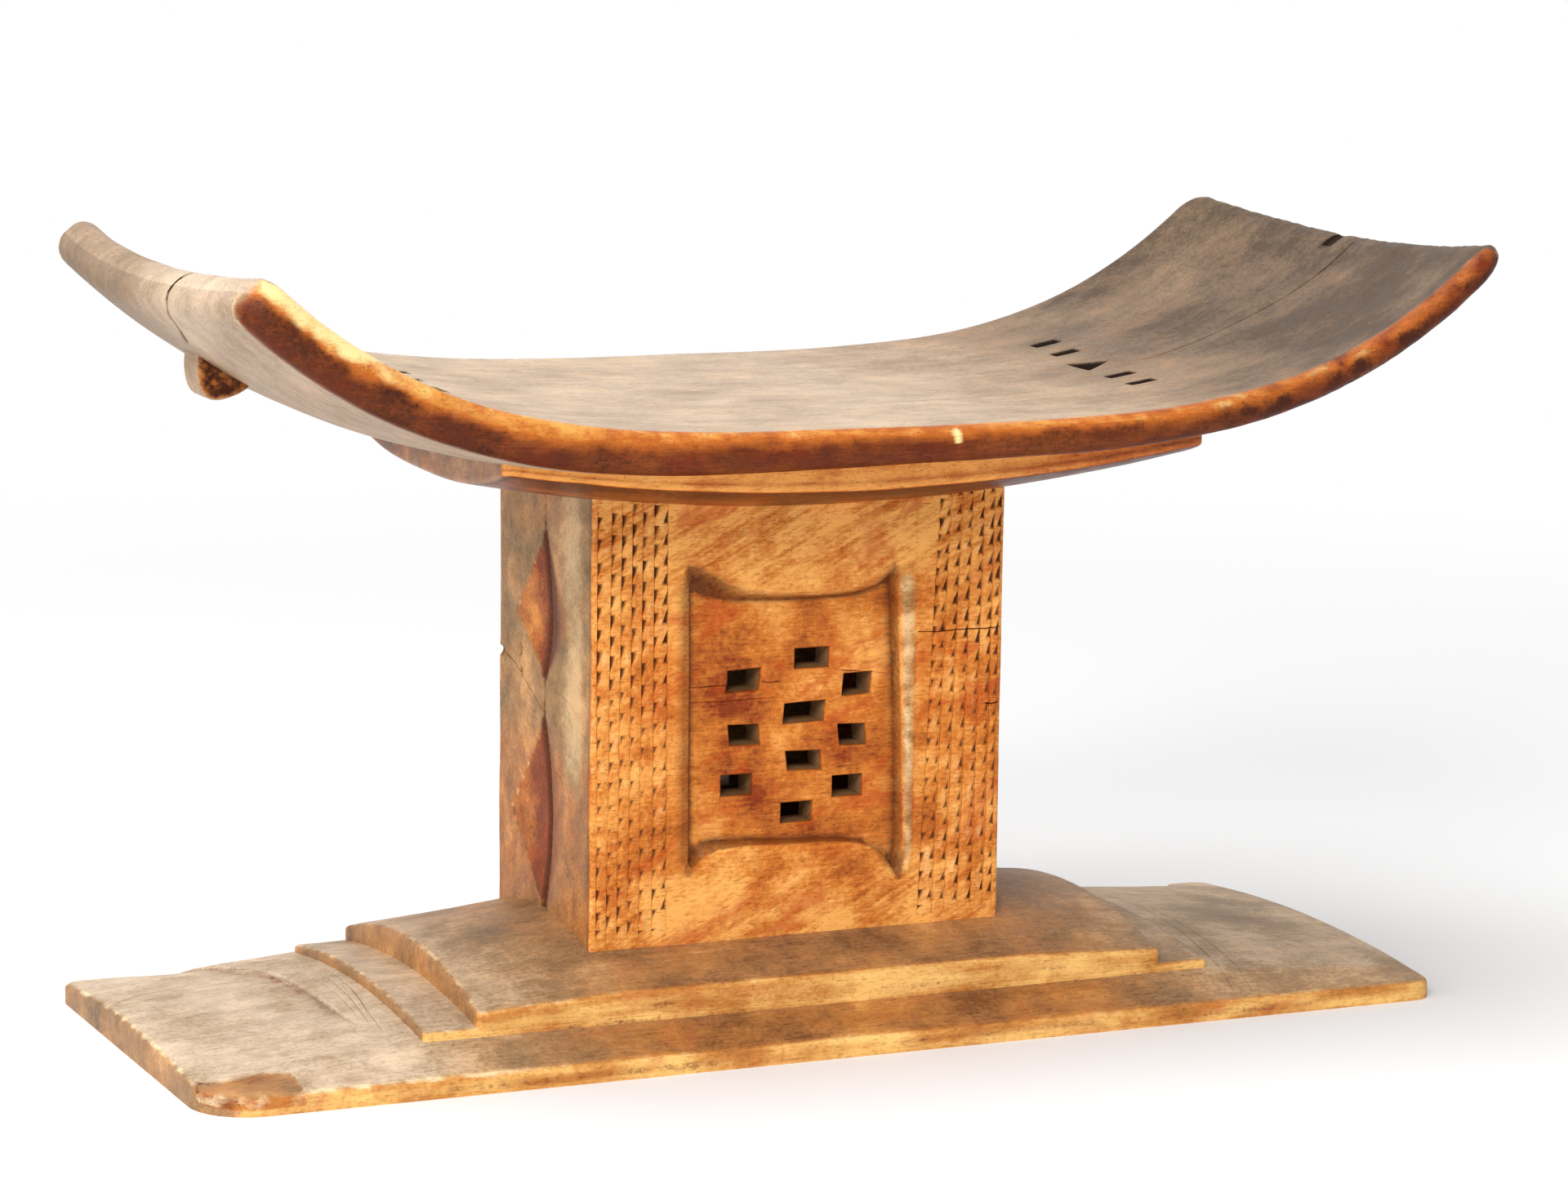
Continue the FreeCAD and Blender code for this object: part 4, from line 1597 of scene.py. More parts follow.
@dataclass
class ColumnMember(Carved):
    """What the hollow column's four members share: two pierced screens between two solid cheeks."""

    name: str = "front_screen_carved"
    slot: str = "column_wood"
    node: str = "column_front_screen"
    middle: float = -4.0
    width: float = 197.5
    depth: float = 113.0
    screen_low: float = -60.0
    screen_high: float = 52.0
    foot: float = 40.0
    head: float = 246.0
    seam: Span = (3.0, 0.6)
    above_panel: Span = (198.0, 212.0)
    below_panel: Span = (78.0, 62.0)
    scrape: float = 27.0
    ripple: float = 0.45
    spacing: float = 3.2
    margin: float = 1.0

    def seam_hold(self, cut: Cut) -> Array:
        """Gives how firmly points are held at the seams between the column's members."""
        gaps = np.abs(cut.points[:, :1] - np.array([self.screen_low, self.screen_high]))
        return ease(gaps.min(axis=1), *self.seam)

    def front_tone(self, points: Array) -> Array:
        """Tones the front and the back, with the scraper's slanting strokes.

        Args:
            points: Points in mm.

        Returns:
            The tone at each point.
        """
        z = points[:, 2]
        cloud = rough(points, 26.0, 21.0)
        blot = rough(points, 11.0, 23.0)
        strokes = rough(points @ self.scrape_turn() / np.array([6.0, 1.0, 1.0]), 3.4, 2.0)
        above = ease(z, *self.above_panel)
        below = ease(z, *self.below_panel)
        tone = 0.54 + 0.26 * cloud + 0.16 * blot + (0.04 + 0.28 * above + 0.16 * below) * strokes
        sides = ease(np.abs(points[:, 0] - self.middle), 58.0, 68.0)
        return tone + 0.14 * below + 0.24 * ease(z, 170.0, 225.0) + 0.05 * sides

    def scrape_share(self, z: Array) -> Array:
        """Gives how strongly the scraper's fine strokes show at each height."""
        return 0.3 + 0.7 * ease(z, *self.above_panel) + 0.4 * ease(z, *self.below_panel)

    def scrape_turn(self) -> Array:
        """Turns the front so that the scraper's strokes run along X."""
        angle = math.radians(self.scrape)
        return np.array([[math.cos(angle), 0, -math.sin(angle)], [0, 1, 0], [math.sin(angle), 0, math.cos(angle)]])

    def flank(self, x: Array, z: Array) -> Array:
        """Gives the painted shade on the rounded ridge at the panel's left."""
        return 0.5 * ease(x, -66.0, -59.0) * ease(x, -54.0, -57.5) * ease(z, 212.0, 203.0) * ease(z, 66.0, 85.0)


@dataclass
class Screen(ColumnMember):
    """One of the two pierced screens. The back one is the front one turned half round, its cracks only drawn."""

    panel: Panel = field(default_factory=Panel)
    back: bool = False
    thickness: float = 21.0
    seam_gap: float = 0.4
    guide_step: float = 2.2
    mark_step: float = 2.0
    wall_rows: int = 5

    def layout(self) -> Plan:
        """Sets out the outline, the panel, the holes and the marks.

        Returns:
            The plan.
        """
        plan = Plan()
        low, high = (self.screen_low, self.foot), (self.screen_high, self.head)
        plan.path([low, (high[0], low[1]), high, (low[0], high[1])], self.spacing, closed=True)
        for guide in self.panel.guides():
            kept = [(min(max(x, low[0] + self.seam_gap), high[0] - self.seam_gap), z) for x, z in guide]
            plan.path(kept, self.guide_step)
        self.panel.holes.lay(plan)
        if not self.back:
            self.lay_marks(plan, self.mark_step)
        margin = self.margin
        plan.fill(self.spacing, (low[0] + margin, low[1] + margin), (high[0] - margin, high[1] - margin))
        return plan

    def cut(self) -> Cut:
        """Builds the screen's skins and walls.

        Returns:
            The screen's points and faces.
        """
        places, corners = self.layout().triangles(lambda at: self.panel.holes.gap(at) > 0)
        x, z = places[:, 0], places[:, 1]
        marks = self.marks(places) * (not self.back)
        depth = self.panel.depths(places) + marks + self.panel.holes.fall(places)
        face = -self.depth / 2
        outer = np.column_stack([x, face + depth, z])
        inner = np.column_stack([x, np.full(len(places), face + self.thickness), z])
        cut = close_skins(places, corners, outer, inner, self.wall_rows)
        self.roughen(cut, self.seam_hold(cut))
        if self.back:
            cut.points = cut.points * np.array([-1, -1, 1]) + np.array([2 * self.middle, 0, 0])
        return cut

    def tint(self, cut: Cut) -> Tint:
        """Says where the screen is warm, dark, worn and dirty, with painted shade in its panel, round its holes and
        inside, and a painted highlight on its bead.

        Args:
            cut: The screen's points.

        Returns:
            The shares.
        """
        x, z = cut.plan[:, 0], cut.plan[:, 1]
        tint, outer = Tint.plain(len(cut.points)), cut.upper
        # The walls and the inner face get painted shade: lower tone and warmth, and a share of dark and dirt.
        inside = ease(cut.level, 0.02, 0.15)
        gap, foot = outline_gap(cut.plan, self.panel.rim), -outline_gap(cut.plan, self.panel.floor)
        fine = rough(cut.points, 5.0, 43.0)
        bead = self.panel.bead(cut.plan) * outer
        # The bead's crest is lighter and paler, partly polish and partly a painted highlight.
        ridge = ease(bead, 0.12, 0.8)
        tint.tone = self.front_tone(cut.points) - 0.11 * ease(gap, 0.0, 3.0) + 0.12 * fine
        tint.tone += ridge * (0.12 + 0.4 * fine)
        tint.tone = tint.tone * (1 - inside) + inside * 0.55
        tint.scrape = self.scrape_share(z) * (1 - 0.8 * ease(gap, -1.0, 1.0)) * outer
        # The panel's walls, its horns and its right side get painted shade, and so do both sides of the bead and
        # the holes' edges.
        wall = ease(gap, -0.8, 0.5) * ease(foot, -1.6, 0.3) * outer
        horns = ease(np.abs(gap), 3.4, 0.4) * (ease(z, 190.0, 203.0) + ease(z, 84.0, 72.0)) * outer
        right = ease(x, 30.0, 41.0) * ease(gap, 0.0, 1.5) * outer
        beside_bead = ease(bead, 0.02, 0.2) * ease(bead, 0.45, 0.25)
        hole = ease(self.panel.holes.gap(cut.plan), 0.7, 0.0)
        tint.dark = np.maximum.reduce([0.3 * inside, 0.45 * hole, 0.75 * wall, 0.65 * horns,
                                       self.flank(x, z) * outer, 0.3 * right, 0.35 * beside_bead])
        tint.warm = 1.0 - 0.66 * ridge - 0.75 * inside
        tint.wear = ridge * (0.22 + 0.6 * fine)
        tint.dirt = np.maximum(0.25 * inside, 0.85 * ease(self.marks(cut.plan) * outer, 0.25, 0.9))
        return tint


@dataclass
class Relief:
    """A cheek's carving at each point: how deep it is cut, and how far its bands swell."""

    nicks: Array
    lines: Array
    hollows: Array
    valley: Array
    swell: Array


@dataclass
class Cheek(ColumnMember):
    """One of the two solid cheeks, with notched bands in front and behind and lozenges on its side.

    Its plan runs along the perimeter from the front corner, and up.
    """

    side: Side = Side.LEFT
    bands: tuple[NotchBand, NotchBand] = (LEFT_BAND, RIGHT_BAND)
    lozenges: tuple[Lozenge, ...] = (
        Lozenge(220.6, 180.0, 154.5, 37.0, 27.0, 3.6),
        Lozenge(136.7, 89.8, 50.0, 42.0, 30.0, 3.8),
    )
    front_marks: list[Groove] = field(default_factory=list)
    side_marks: list[Groove] = field(default_factory=list)
    corner: float = 1.8
    corner_rows: Floats = (-1.0, -0.5, 0.0, 0.5, 1.0)
    valley_depth: float = 0.9
    valley_half: float = 1.6
    swell: float = 0.34
    lozenge_step: float = 2.4
    groove_step: float = 3.2
    notch_step: float = 9.0
    fill_spacing: float = 2.2
    row_gap: float = 1e-3

    @property
    def edge(self) -> float:
        """Gives the cheek's outer side along X."""
        return self.middle + self.side.value * self.width / 2

    @property
    def ends(self) -> Span:
        """Gives where its plan starts in front and ends behind."""
        width = (self.width - self.screen_high + self.screen_low) / 2
        return (-width, self.depth + width)

    def perimeter(self, places: Array) -> tuple[Array, Array]:
        """Wraps the plan round the column.

        Args:
            places: Plan points.

        Returns:
            The points on the perimeter, and the directions out of it.
        """
        edge, side = self.edge, self.side.value
        along, z = places[:, 0], places[:, 1]
        front, back = -self.depth / 2, self.depth / 2
        x = np.where(along < 0, edge + side * along, edge)
        x = np.where(along > self.depth, edge - side * (along - self.depth), x)
        y = front + np.clip(along, 0, self.depth)
        first_turn = (along + self.corner) / (2 * self.corner)
        second_turn = 1 + (along - self.depth + self.corner) / (2 * self.corner)
        turn = np.where(along < self.depth / 2, np.clip(first_turn, 0, 1), np.clip(second_turn, 1, 2))
        angle = turn * math.pi / 2
        outward = np.column_stack([side * np.sin(angle), -np.cos(angle), np.zeros_like(z)])
        rounding = (turn > 0) & (turn < 1) | (turn > 1) & (turn < 2)
        centre_x = edge - side * self.corner
        centre_y = np.where(along < self.depth / 2, front + self.corner, back - self.corner)
        x = np.where(rounding, centre_x + self.corner * outward[:, 0], x)
        y = np.where(rounding, centre_y + self.corner * outward[:, 1], y)
        return np.column_stack([x, y, z]), outward

    def plan_place(self, x: float, band: int) -> float:
        """Finds where a place along the front, in band 0, or turned to the back, in band 1, lies on the plan."""
        back = self.depth - self.side.value * (2 * self.middle - x - self.edge)
        return back if band else self.side.value * (x - self.edge)

    def front_place(self, along: Array, band: int) -> Array:
        """Finds where plan places lie along the front, in band 0, or turned to the back, in band 1."""
        back = 2 * self.middle - self.edge + self.side.value * (along - self.depth)
        return back if band else self.edge + self.side.value * along

    @cached_property
    def notches(self) -> list[Notch]:
        """Sets out both bands' notches on the plan."""
        return [replace(notch, x=self.plan_place(notch.x, index), width=notch.width * self.side.value)
                for index, band in enumerate(self.bands) for notch in band.notches()]

    @cached_property
    def cuts(self) -> list[Groove]:
        """Sets out the scribed lines and the cracks on the plan.

        Returns:
            The grooves.
        """
        moved = [(scribe, [(self.plan_place(x, index), z) for x, z in scribe.line])
                 for index, band in enumerate(self.bands) for scribe in band.scribes()]
        moved += [(mark, [(self.plan_place(x, 0), z) for x, z in mark.line]) for mark in self.front_marks]
        moved += [(mark, [(y + self.depth / 2, z) for y, z in mark.line]) for mark in self.side_marks]
        return [replace(groove, line=line) for groove, line in moved]

    def layout(self) -> Plan:
        """Sets out the outline, the rounded corners and all of the carving.

        Returns:
            The plan.
        """
        (start, end), foot, head = self.ends, self.foot, self.head
        plan = Plan()
        plan.path([(start, foot), (end, foot), (end, head), (start, head)], self.spacing, closed=True)
        for corner in (0.0, self.depth):
            for row in self.corner_rows:
                at = corner + row * self.corner
                plan.path([(at, foot), (at, head)], self.spacing)
        for lozenge in self.lozenges:
            for guide in lozenge.guides():
                plan.path([(y + self.depth / 2, z) for y, z in guide], self.lozenge_step)
        for groove in self.cuts:
            for guide in groove.guides():
                plan.path(guide, self.groove_step)
        for notch in self.notches:
            corners = notch.corners()
            plan.path(corners, self.notch_step, closed=True)
            for corner in corners:
                plan.path([corner, notch.pit()], self.notch_step)
        margin = self.margin
        plan.fill(self.fill_spacing, (start + margin, foot + margin), (end - margin, head - margin))
        return plan

    def relief(self, places: Array) -> Relief:
        """Measures the carving.

        Args:
            places: Plan points.

        Returns:
            The carving at each point.
        """
        along, z = places[:, 0], places[:, 1]
        across = np.column_stack([along - self.depth / 2, z])
        on_side = (along > 0) & (along < self.depth)
        none = np.zeros(len(places))
        valley = np.clip(1 - np.abs(across[:, 0] - VALLEY) / self.valley_half, 0, 1)
        front = self.bands[0].pillow(self.front_place(along, 0), z) * (along < 0)
        back = self.bands[1].pillow(self.front_place(along, 1), z) * (along > self.depth)
        return Relief(
            nicks=sum((notch.depths(places) for notch in self.notches), none),
            lines=sum((groove.depths(places) for groove in self.cuts), none),
            hollows=sum((lozenge.depths(across) for lozenge in self.lozenges), none) * on_side,
            valley=self.valley_depth * valley * on_side,
            swell=front + back,
        )

    def caps(self, places: Array) -> list[tuple[int, ...]]:
        """Closes the cheek behind, above and below.

        Args:
            places: Plan points.

        Returns:
            The faces.
        """
        def row(axis: int, at: float) -> list[int]:
            """Lists the points on one side of the plan, in order."""
            found = np.flatnonzero(np.abs(places[:, axis] - at) < self.row_gap)
            return [int(k) for k in found[np.argsort(places[found, 1 - axis])]]

        first, last, foot, head = row(0, self.ends[0]), row(0, self.ends[1]), row(1, self.foot), row(1, self.head)
        return [tuple(last[::-1] + first), tuple(foot[::-1]), tuple(head)]

    def cut(self) -> Cut:
        """Wraps the carved plan round the column and closes it behind.

        Returns:
            The cheek's points and faces.
        """
        places, corners = self.layout().triangles(lambda at: np.ones(len(at), bool))
        relief = self.relief(places)
        points, outward = self.perimeter(places)
        depth = relief.nicks + relief.lines + relief.hollows + relief.valley - self.swell * relief.swell
        faces = [tuple(map(int, face)) for face in corners] + self.caps(places)
        if self.side is Side.LEFT:
            faces = [face[::-1] for face in faces]
        cut = Cut(points - outward * depth[:, None], faces, places, np.zeros(len(places)))
        self.roughen(cut, self.seam_hold(cut))
        return cut

    def tint(self, cut: Cut) -> Tint:
        """Says where the cheek is warm, dark, worn and dirty, with painted shade in its lozenges and painted
        highlights on their upper edges and on the swells.

        Args:
            cut: The cheek's points.

        Returns:
            The shares.
        """
        tint, relief = Tint.plain(len(cut.points)), self.relief(cut.plan)
        along, z = cut.plan[:, 0], cut.plan[:, 1]
        cloud, blot = rough(cut.points, 20.0, 31.0), rough(cut.points, 8.0, 33.0)
        on_side = ease(along, 0.6, 1.9) * ease(self.depth - along, 0.6, 1.9)
        on_front, left = along < 0, self.side is Side.LEFT
        past = along - self.depth / 2 - VALLEY
        tips = np.min([lozenge.share(z) for lozenge in self.lozenges], axis=0)
        reach = 38.0 * (1 - ease(tips, 0.0, 1.1)) + 2.0
        before = (past <= 0) * (tips < 1.1)
        far, near = ease(relief.hollows, 0.02, 0.3) * (past > 0), ease(-past / reach, 1.0, 0.3) * before
        lower = ease(z, 140.0, 110.0)
        # The far facets darken towards the valley as painted shade, and also towards the tips and lower down.
        facet = 0.52 - 0.36 * ease(tips, 0.3, 0.95) - 0.5 * ease(past, 22.0, 1.0) - 0.2 * lower
        # pale is a painted highlight on the side face near its front, at mid-height.
        pale = ease(along, 8.0, 16.0) * ease(along, 40.0, 26.0) * ease(z, 100.0, 125.0) * (1 - near)
        grey = ease(along, 28.0, 12.0) * ease(z, 186.0, 215.0)
        olive = 0.47 + 0.16 * cloud + 0.14 * blot + 0.3 * pale - 0.16 * grey - 0.06 * lower
        tone = olive * (1 - far) + far * (facet + 0.18 * blot)
        tone = tone * (1 - near) + near * (0.42 + 0.14 * blot)
        warm = 0.3 + 0.16 * cloud + 0.2 * lower * (1 - pale) - 0.16 * grey - 0.1 * pale
        warm = np.maximum.reduce([warm, 0.72 * far, 0.66 * near])
        front = self.front_tone(cut.points) + 0.2 * blot * relief.swell
        tint.tone = front * (1 - on_side) + on_side * (tone * (1 - 0.25 * ease(along, 5.0, 2.0)))
        tint.warm = (1 - on_side) + on_side * warm
        tint.scrape = self.scrape_share(z) * (1 - on_side)
        front_x = self.middle + self.side.value * (self.width / 2 + along)
        shade = ease(-past / reach, 0.8, 0.2) * before * (1 - 0.4 * lower)
        # crease is painted shade along the valley line; rim is the facets' crisp edge, with a painted highlight on
        # the upper halves and painted shade on the lower halves.
        crease = on_side * ease(np.abs(past), 3.0 + 4.0 * (tips < 1), 0.0) * ease(tips, 1.5, 0.9)
        rim = on_side * ease(np.abs(relief.hollows - 0.18), 0.2, 0.02) * (past > 3)
        upper = np.any([(z > lozenge.middle) & (z < lozenge.head + 3) for lozenge in self.lozenges], axis=0)
        tint.dark = np.maximum.reduce([
            0.95 * ease(relief.nicks, 0.12, 0.7), 0.45 * ease(relief.lines, 0.12, 0.4) * (1 - on_side),
            0.95 * crease, 0.85 * shade, self.flank(front_x, z) * on_front * left, 0.75 * rim * ~upper,
            0.35 * ease(along, 6.0, 2.0) * on_side,
        ])
        edge = ease(np.abs(along + 0.4), 1.5, 0.4)
        # streak is pale on the swells between the notches, partly polish and partly a painted highlight; ridge
        # carries the bead's pale crest onto the right cheek, also partly a painted highlight.
        streak = ease(relief.swell, 0.45, 0.95) * ease(blot, -0.35, 0.35) * (relief.nicks < 0.1) * (1 - on_side)
        ridge = ease(front_x, 56.0, 53.0) * (not left) * on_front * ease(z, 70.0, 84.0) * ease(z, 208.0, 196.0)
        tint.wear = np.maximum.reduce([0.45 * edge * ease(blot, -0.3, 0.4), 0.42 * streak, 0.7 * rim * upper,
                                       0.2 * ridge])
        tint.dirt = np.maximum(0.55 * ease(relief.nicks, 0.6, 1.4), 0.85 * ease(relief.lines, 0.55, 0.9))
        return tint


@dataclass(frozen=True)
class OldWood:
    """Old carved wood: grey where it has weathered, warm where hands have kept it."""

    name: str
    grey: tuple[Colour, Colour, Colour]
    warm: tuple[Colour, Colour, Colour]
    dark: Colour
    # The worn colour also paints highlights, and the dirt colour also paints shade in the column's holes and
    # hollow.
    worn: Colour
    dirt: Colour
    roughness: float = 0.46
    red: Colour = srgb(186, 74, 24)
    redness: float = 0.35
    gloss: float = 0.2
    contrast: float = 1.0
    grit: float = 1.4
    specks: float = 0.35
    strokes: float = 0.0
    stroke_lean: float = 27.0
    tones: tuple[float, float, float] = (0.05, 0.5, 0.95)
    warm_span: Span = (0.05, 0.95)
    dark_span: Span = (0.08, 0.95)
    worn_span: Span = (0.2, 0.95)
    dirt_and_shade_span: Span = (0.1, 0.95)
    relief: float = 0.0006

    def material(self) -> bpy.types.Material:
        """Builds the finish: the wood's patterns, then its colours from grey and warm to dark, worn and dirty,
        which also lay in painted shade and painted highlights.

        Returns:
            The material.
        """
        shader = Shader(bpy.data.materials.new(self.name))
        place = shader.place()
        swayed = shader.swayed(place, 14.0, 0.006)
        streaks = shader.noise(shader.scaled(swayed, (18.0, 130.0, 130.0)), 1.0, 4.0, 0.6)
        fibres = shader.noise(shader.scaled(swayed, (70.0, 900.0, 900.0)), 1.0, 3.0, 0.65)
        clouds = shader.noise(place, 30.0, 5.0, 0.66)
        blots = shader.noise(place, 85.0, 5.0, 0.72)
        grain = shader.noise(place, 480.0, 3.0, 0.7)
        inputs = {"Vector": place, "Angle": math.radians(self.stroke_lean)}
        leaning = shader.node("ShaderNodeVectorRotate", {"rotation_type": "Y_AXIS"}, inputs).outputs[0]
        strokes = shader.noise(shader.scaled(leaning, (45.0, 60.0, 520.0)), 1.0, 3.0, 0.6)
        pores = shader.noise(shader.scaled(place, (300.0, 1500.0, 1500.0)), 1.0, 2.0, 0.5).eased(0.6, 0.72)
        spread = (clouds - 0.5) * 0.8 + (blots - 0.5) * 0.4
        drift = spread + (streaks - 0.5) * 0.3 + (fibres - 0.5) * 0.4 + (grain - 0.5) * 0.35
        drift = drift + (strokes - 0.5) * shader.attribute("scrape") * self.strokes
        tone = shader.attribute("tone") + drift * self.contrast
        grey = shader.ramp(tone, list(zip(self.tones, self.grey)))
        warm = shader.ramp(tone, list(zip(self.tones, self.warm)))
        warmth = (shader.attribute("warm") + spread * 0.8).eased(*self.warm_span)
        flush = shader.noise(shader.scaled(leaning, (26.0, 50.0, 60.0)), 1.0, 4.0, 0.7, 0.8).eased(0.5, 0.68)
        warm = shader.mix(flush * self.redness, warm, self.red)
        colour = shader.mix(warmth, grey, warm)
        # The dark, worn and dirt mixes below lay in painted shade and painted highlights as well as stains, wear
        # and dirt.
        shade = shader.attribute("dark") + spread * 0.4 + (grain - 0.5) * self.grit
        colour = shader.mix(shade.eased(*self.dark_span), colour, self.dark)
        worn = (shader.attribute("wear") + drift * 0.8).eased(*self.worn_span)
        colour = shader.mix(worn, colour, self.worn)
        specks = shader.noise(place, 230.0, 2.0, 0.5, 0.6).eased(0.68, 0.78) * self.specks
        dirt = (shader.attribute("dirt") + pores * 0.3 + specks).eased(*self.dirt_and_shade_span)
        colour = shader.mix(dirt, colour, self.dirt)
        roughness = self.roughness + (fibres - 0.5) * 0.3 + (blots - 0.5) * 0.5 - worn * 0.12 + dirt * 0.3
        height = fibres * 0.3 + streaks * 0.2 + grain * 0.3 + blots * 0.5 - pores * 0.4
        shader.surface(colour, roughness, height, self.relief, {"Specular IOR Level": self.gloss})
        return shader.owner


@dataclass(frozen=True)
class Lamp:
    """A soft rectangular lamp that looks at the stool."""

    name: str
    place: tuple[float, float, float]
    size: float
    power: float
    aim: tuple[float, float, float] = (0.0, 0.0, 0.18)

    def light(self) -> None:
        """Hangs the lamp."""
        data = bpy.data.lights.new(self.name, "AREA")
        data.shape = "SQUARE"
        data.size = self.size
        data.energy = self.power
        lamp = bpy.data.objects.new(self.name, data)
        lamp.location = self.place
        beam = Vector(self.aim) - Vector(self.place)
        lamp.rotation_euler = beam.to_track_quat("-Z", "Y").to_euler()
        bpy.context.collection.objects.link(lamp)


@dataclass
class Studio:
    """The pale floor, the lamps and the camera."""

    yaw: float = 24.064
    pitch: float = 9.301
    roll: float = 0.779
    distance: float = 2.1934
    focal: float = 5968.3
    picture_width: float = 1920.0
    sensor: float = 36.0
    aim: tuple[float, float, float] = (0.0127, 0.0, 0.18698)
    lamps: tuple[Lamp, ...] = (
        Lamp("lamp_front", (-1.4, -2.0, 1.7), 1.0, 48.0),
        Lamp("lamp_above", (-0.6, 0.2, 2.4), 1.8, 40.0),
        Lamp("lamp_left", (-2.2, -0.6, 1.0), 1.2, 14.0),
    )
    world: float = 0.5
    floor_reach: float = 6.0
    paper: Colour = (0.87, 0.87, 0.87, 1.0)
    paper_roughness: float = 0.9
    white: Colour = (1.0, 1.0, 1.0, 1.0)
    near_white: float = 0.04
    fade: Point = (0.5, 1.7)

    def set_camera(self) -> None:
        """Puts the camera where the picture was taken from."""
        yaw, pitch, roll = (math.radians(angle) for angle in (self.yaw, self.pitch, self.roll))
        forward = Vector((math.sin(yaw) * math.cos(pitch), math.cos(yaw) * math.cos(pitch), -math.sin(pitch)))
        level = Vector((math.cos(yaw), -math.sin(yaw), 0))
        upright = level.cross(forward)
        right = level * math.cos(roll) + upright * math.sin(roll)
        up = upright * math.cos(roll) - level * math.sin(roll)
        data = bpy.data.cameras.new("camera")
        data.sensor_width = self.sensor
        data.lens = self.focal * self.sensor / self.picture_width
        camera = bpy.data.objects.new("camera", data)
        turn = Matrix((right, up, -forward)).transposed().to_4x4()
        camera.matrix_world = Matrix.Translation(Vector(self.aim) - forward * self.distance) @ turn
        bpy.context.collection.objects.link(camera)
        bpy.context.scene.camera = camera

    def set_world(self) -> None:
        """Lights the room evenly and shows it white."""
        world = bpy.data.worlds.new("room")
        shader = Shader(world)
        rays = shader.node("ShaderNodeLightPath").outputs
        seen = Value(shader, rays["Is Camera Ray"]) + rays["Is Glossy Ray"] + rays["Is Transmission Ray"]
        soft = shader.node("ShaderNodeBackground", {}, {"Color": self.white, "Strength": self.world})
        bright = shader.node("ShaderNodeBackground", {}, {"Color": self.white})
        inputs = {0: seen, 1: soft.outputs[0], 2: bright.outputs[0]}
        mixed = shader.node("ShaderNodeMixShader", {}, inputs)
        shader.node("ShaderNodeOutputWorld", {}, {"Surface": mixed.outputs[0]})
        bpy.context.scene.world = world

    def lay_floor(self) -> None:
        """Lays the pale floor, which fades to white with distance."""
        reach = self.floor_reach
        mesh = bpy.data.meshes.new("floor")
        corners = [(-reach, -reach, 0), (reach, -reach, 0), (reach, reach, 0), (-reach, reach, 0)]
        mesh.from_pydata(corners, [], [(0, 1, 2, 3)])
        shader = Shader(bpy.data.materials.new("floor_paper"))
        inputs = {"Base Color": self.paper, "Roughness": self.paper_roughness}
        paper = shader.node("ShaderNodeBsdfPrincipled", {}, inputs)
        white = shader.node("ShaderNodeEmission", {}, {"Color": self.white})
        distance = shader.node("ShaderNodeVectorMath", {"operation": "LENGTH"}, {0: shader.place()})
        away = Value(shader, distance.outputs["Value"]).eased(*self.fade)
        rays = shader.node("ShaderNodeLightPath").outputs
        share = (self.near_white + (1 - self.near_white) * away) * rays["Is Camera Ray"]
        mixed = shader.node("ShaderNodeMixShader", {}, {0: share, 1: paper.outputs[0], 2: white.outputs[0]})
        shader.node("ShaderNodeOutputMaterial", {}, {"Surface": mixed.outputs[0]})
        mesh.materials.append(shader.owner)
        floor = bpy.data.objects.new("floor", mesh)
        bpy.context.collection.objects.link(floor)

    def build(self) -> None:
        """Sets everything up."""
        bpy.context.scene.view_settings.view_transform = "Standard"
        self.set_camera()
        self.set_world()
        self.lay_floor()
        for lamp in self.lamps:
            lamp.light()


SEAT_WOOD = OldWood(
    name="seat_wood",
    grey=(srgb(76, 58, 42), srgb(150, 124, 98), srgb(216, 194, 168)),
    warm=(srgb(100, 38, 12), srgb(182, 98, 34), srgb(236, 176, 88)),
    dark=srgb(66, 27, 10),
    worn=srgb(246, 212, 146),
    dirt=srgb(40, 27, 20),
    redness=0.12,
    gloss=0.15,
    contrast=0.76,
)
COLUMN_WOOD = OldWood(
    name="column_wood",
    grey=(srgb(108, 82, 50), srgb(164, 130, 86), srgb(206, 178, 136)),
    warm=(srgb(134, 54, 20), srgb(206, 120, 46), srgb(248, 178, 94)),
    dark=srgb(86, 42, 20),
    worn=srgb(242, 200, 148),
    dirt=srgb(62, 36, 20),
    roughness=0.44,
    redness=0.62,
    gloss=0.12,
    contrast=1.45,
    grit=0.6,
    strokes=0.9,
)
SHOULDER_WOOD = OldWood(
    name="shoulder_wood",
    grey=(srgb(84, 62, 42), srgb(136, 104, 76), srgb(174, 142, 110)),
    warm=(srgb(100, 42, 16), srgb(200, 106, 38), srgb(248, 170, 84)),
    dark=srgb(72, 34, 18),
    worn=srgb(252, 196, 112),
    dirt=srgb(44, 28, 20),
    roughness=0.36,
    gloss=0.22,
    contrast=1.25,
)
BASE_WOOD = OldWood(
    name="base_wood",
    grey=(srgb(102, 78, 52), srgb(162, 134, 100), srgb(226, 204, 178)),
    warm=(srgb(132, 72, 28), srgb(200, 132, 62), srgb(248, 198, 116)),
    dark=srgb(124, 52, 22),
    worn=srgb(248, 222, 176),
    dirt=srgb(58, 40, 30),
    roughness=0.5,
    redness=0.28,
    contrast=1.15,
)
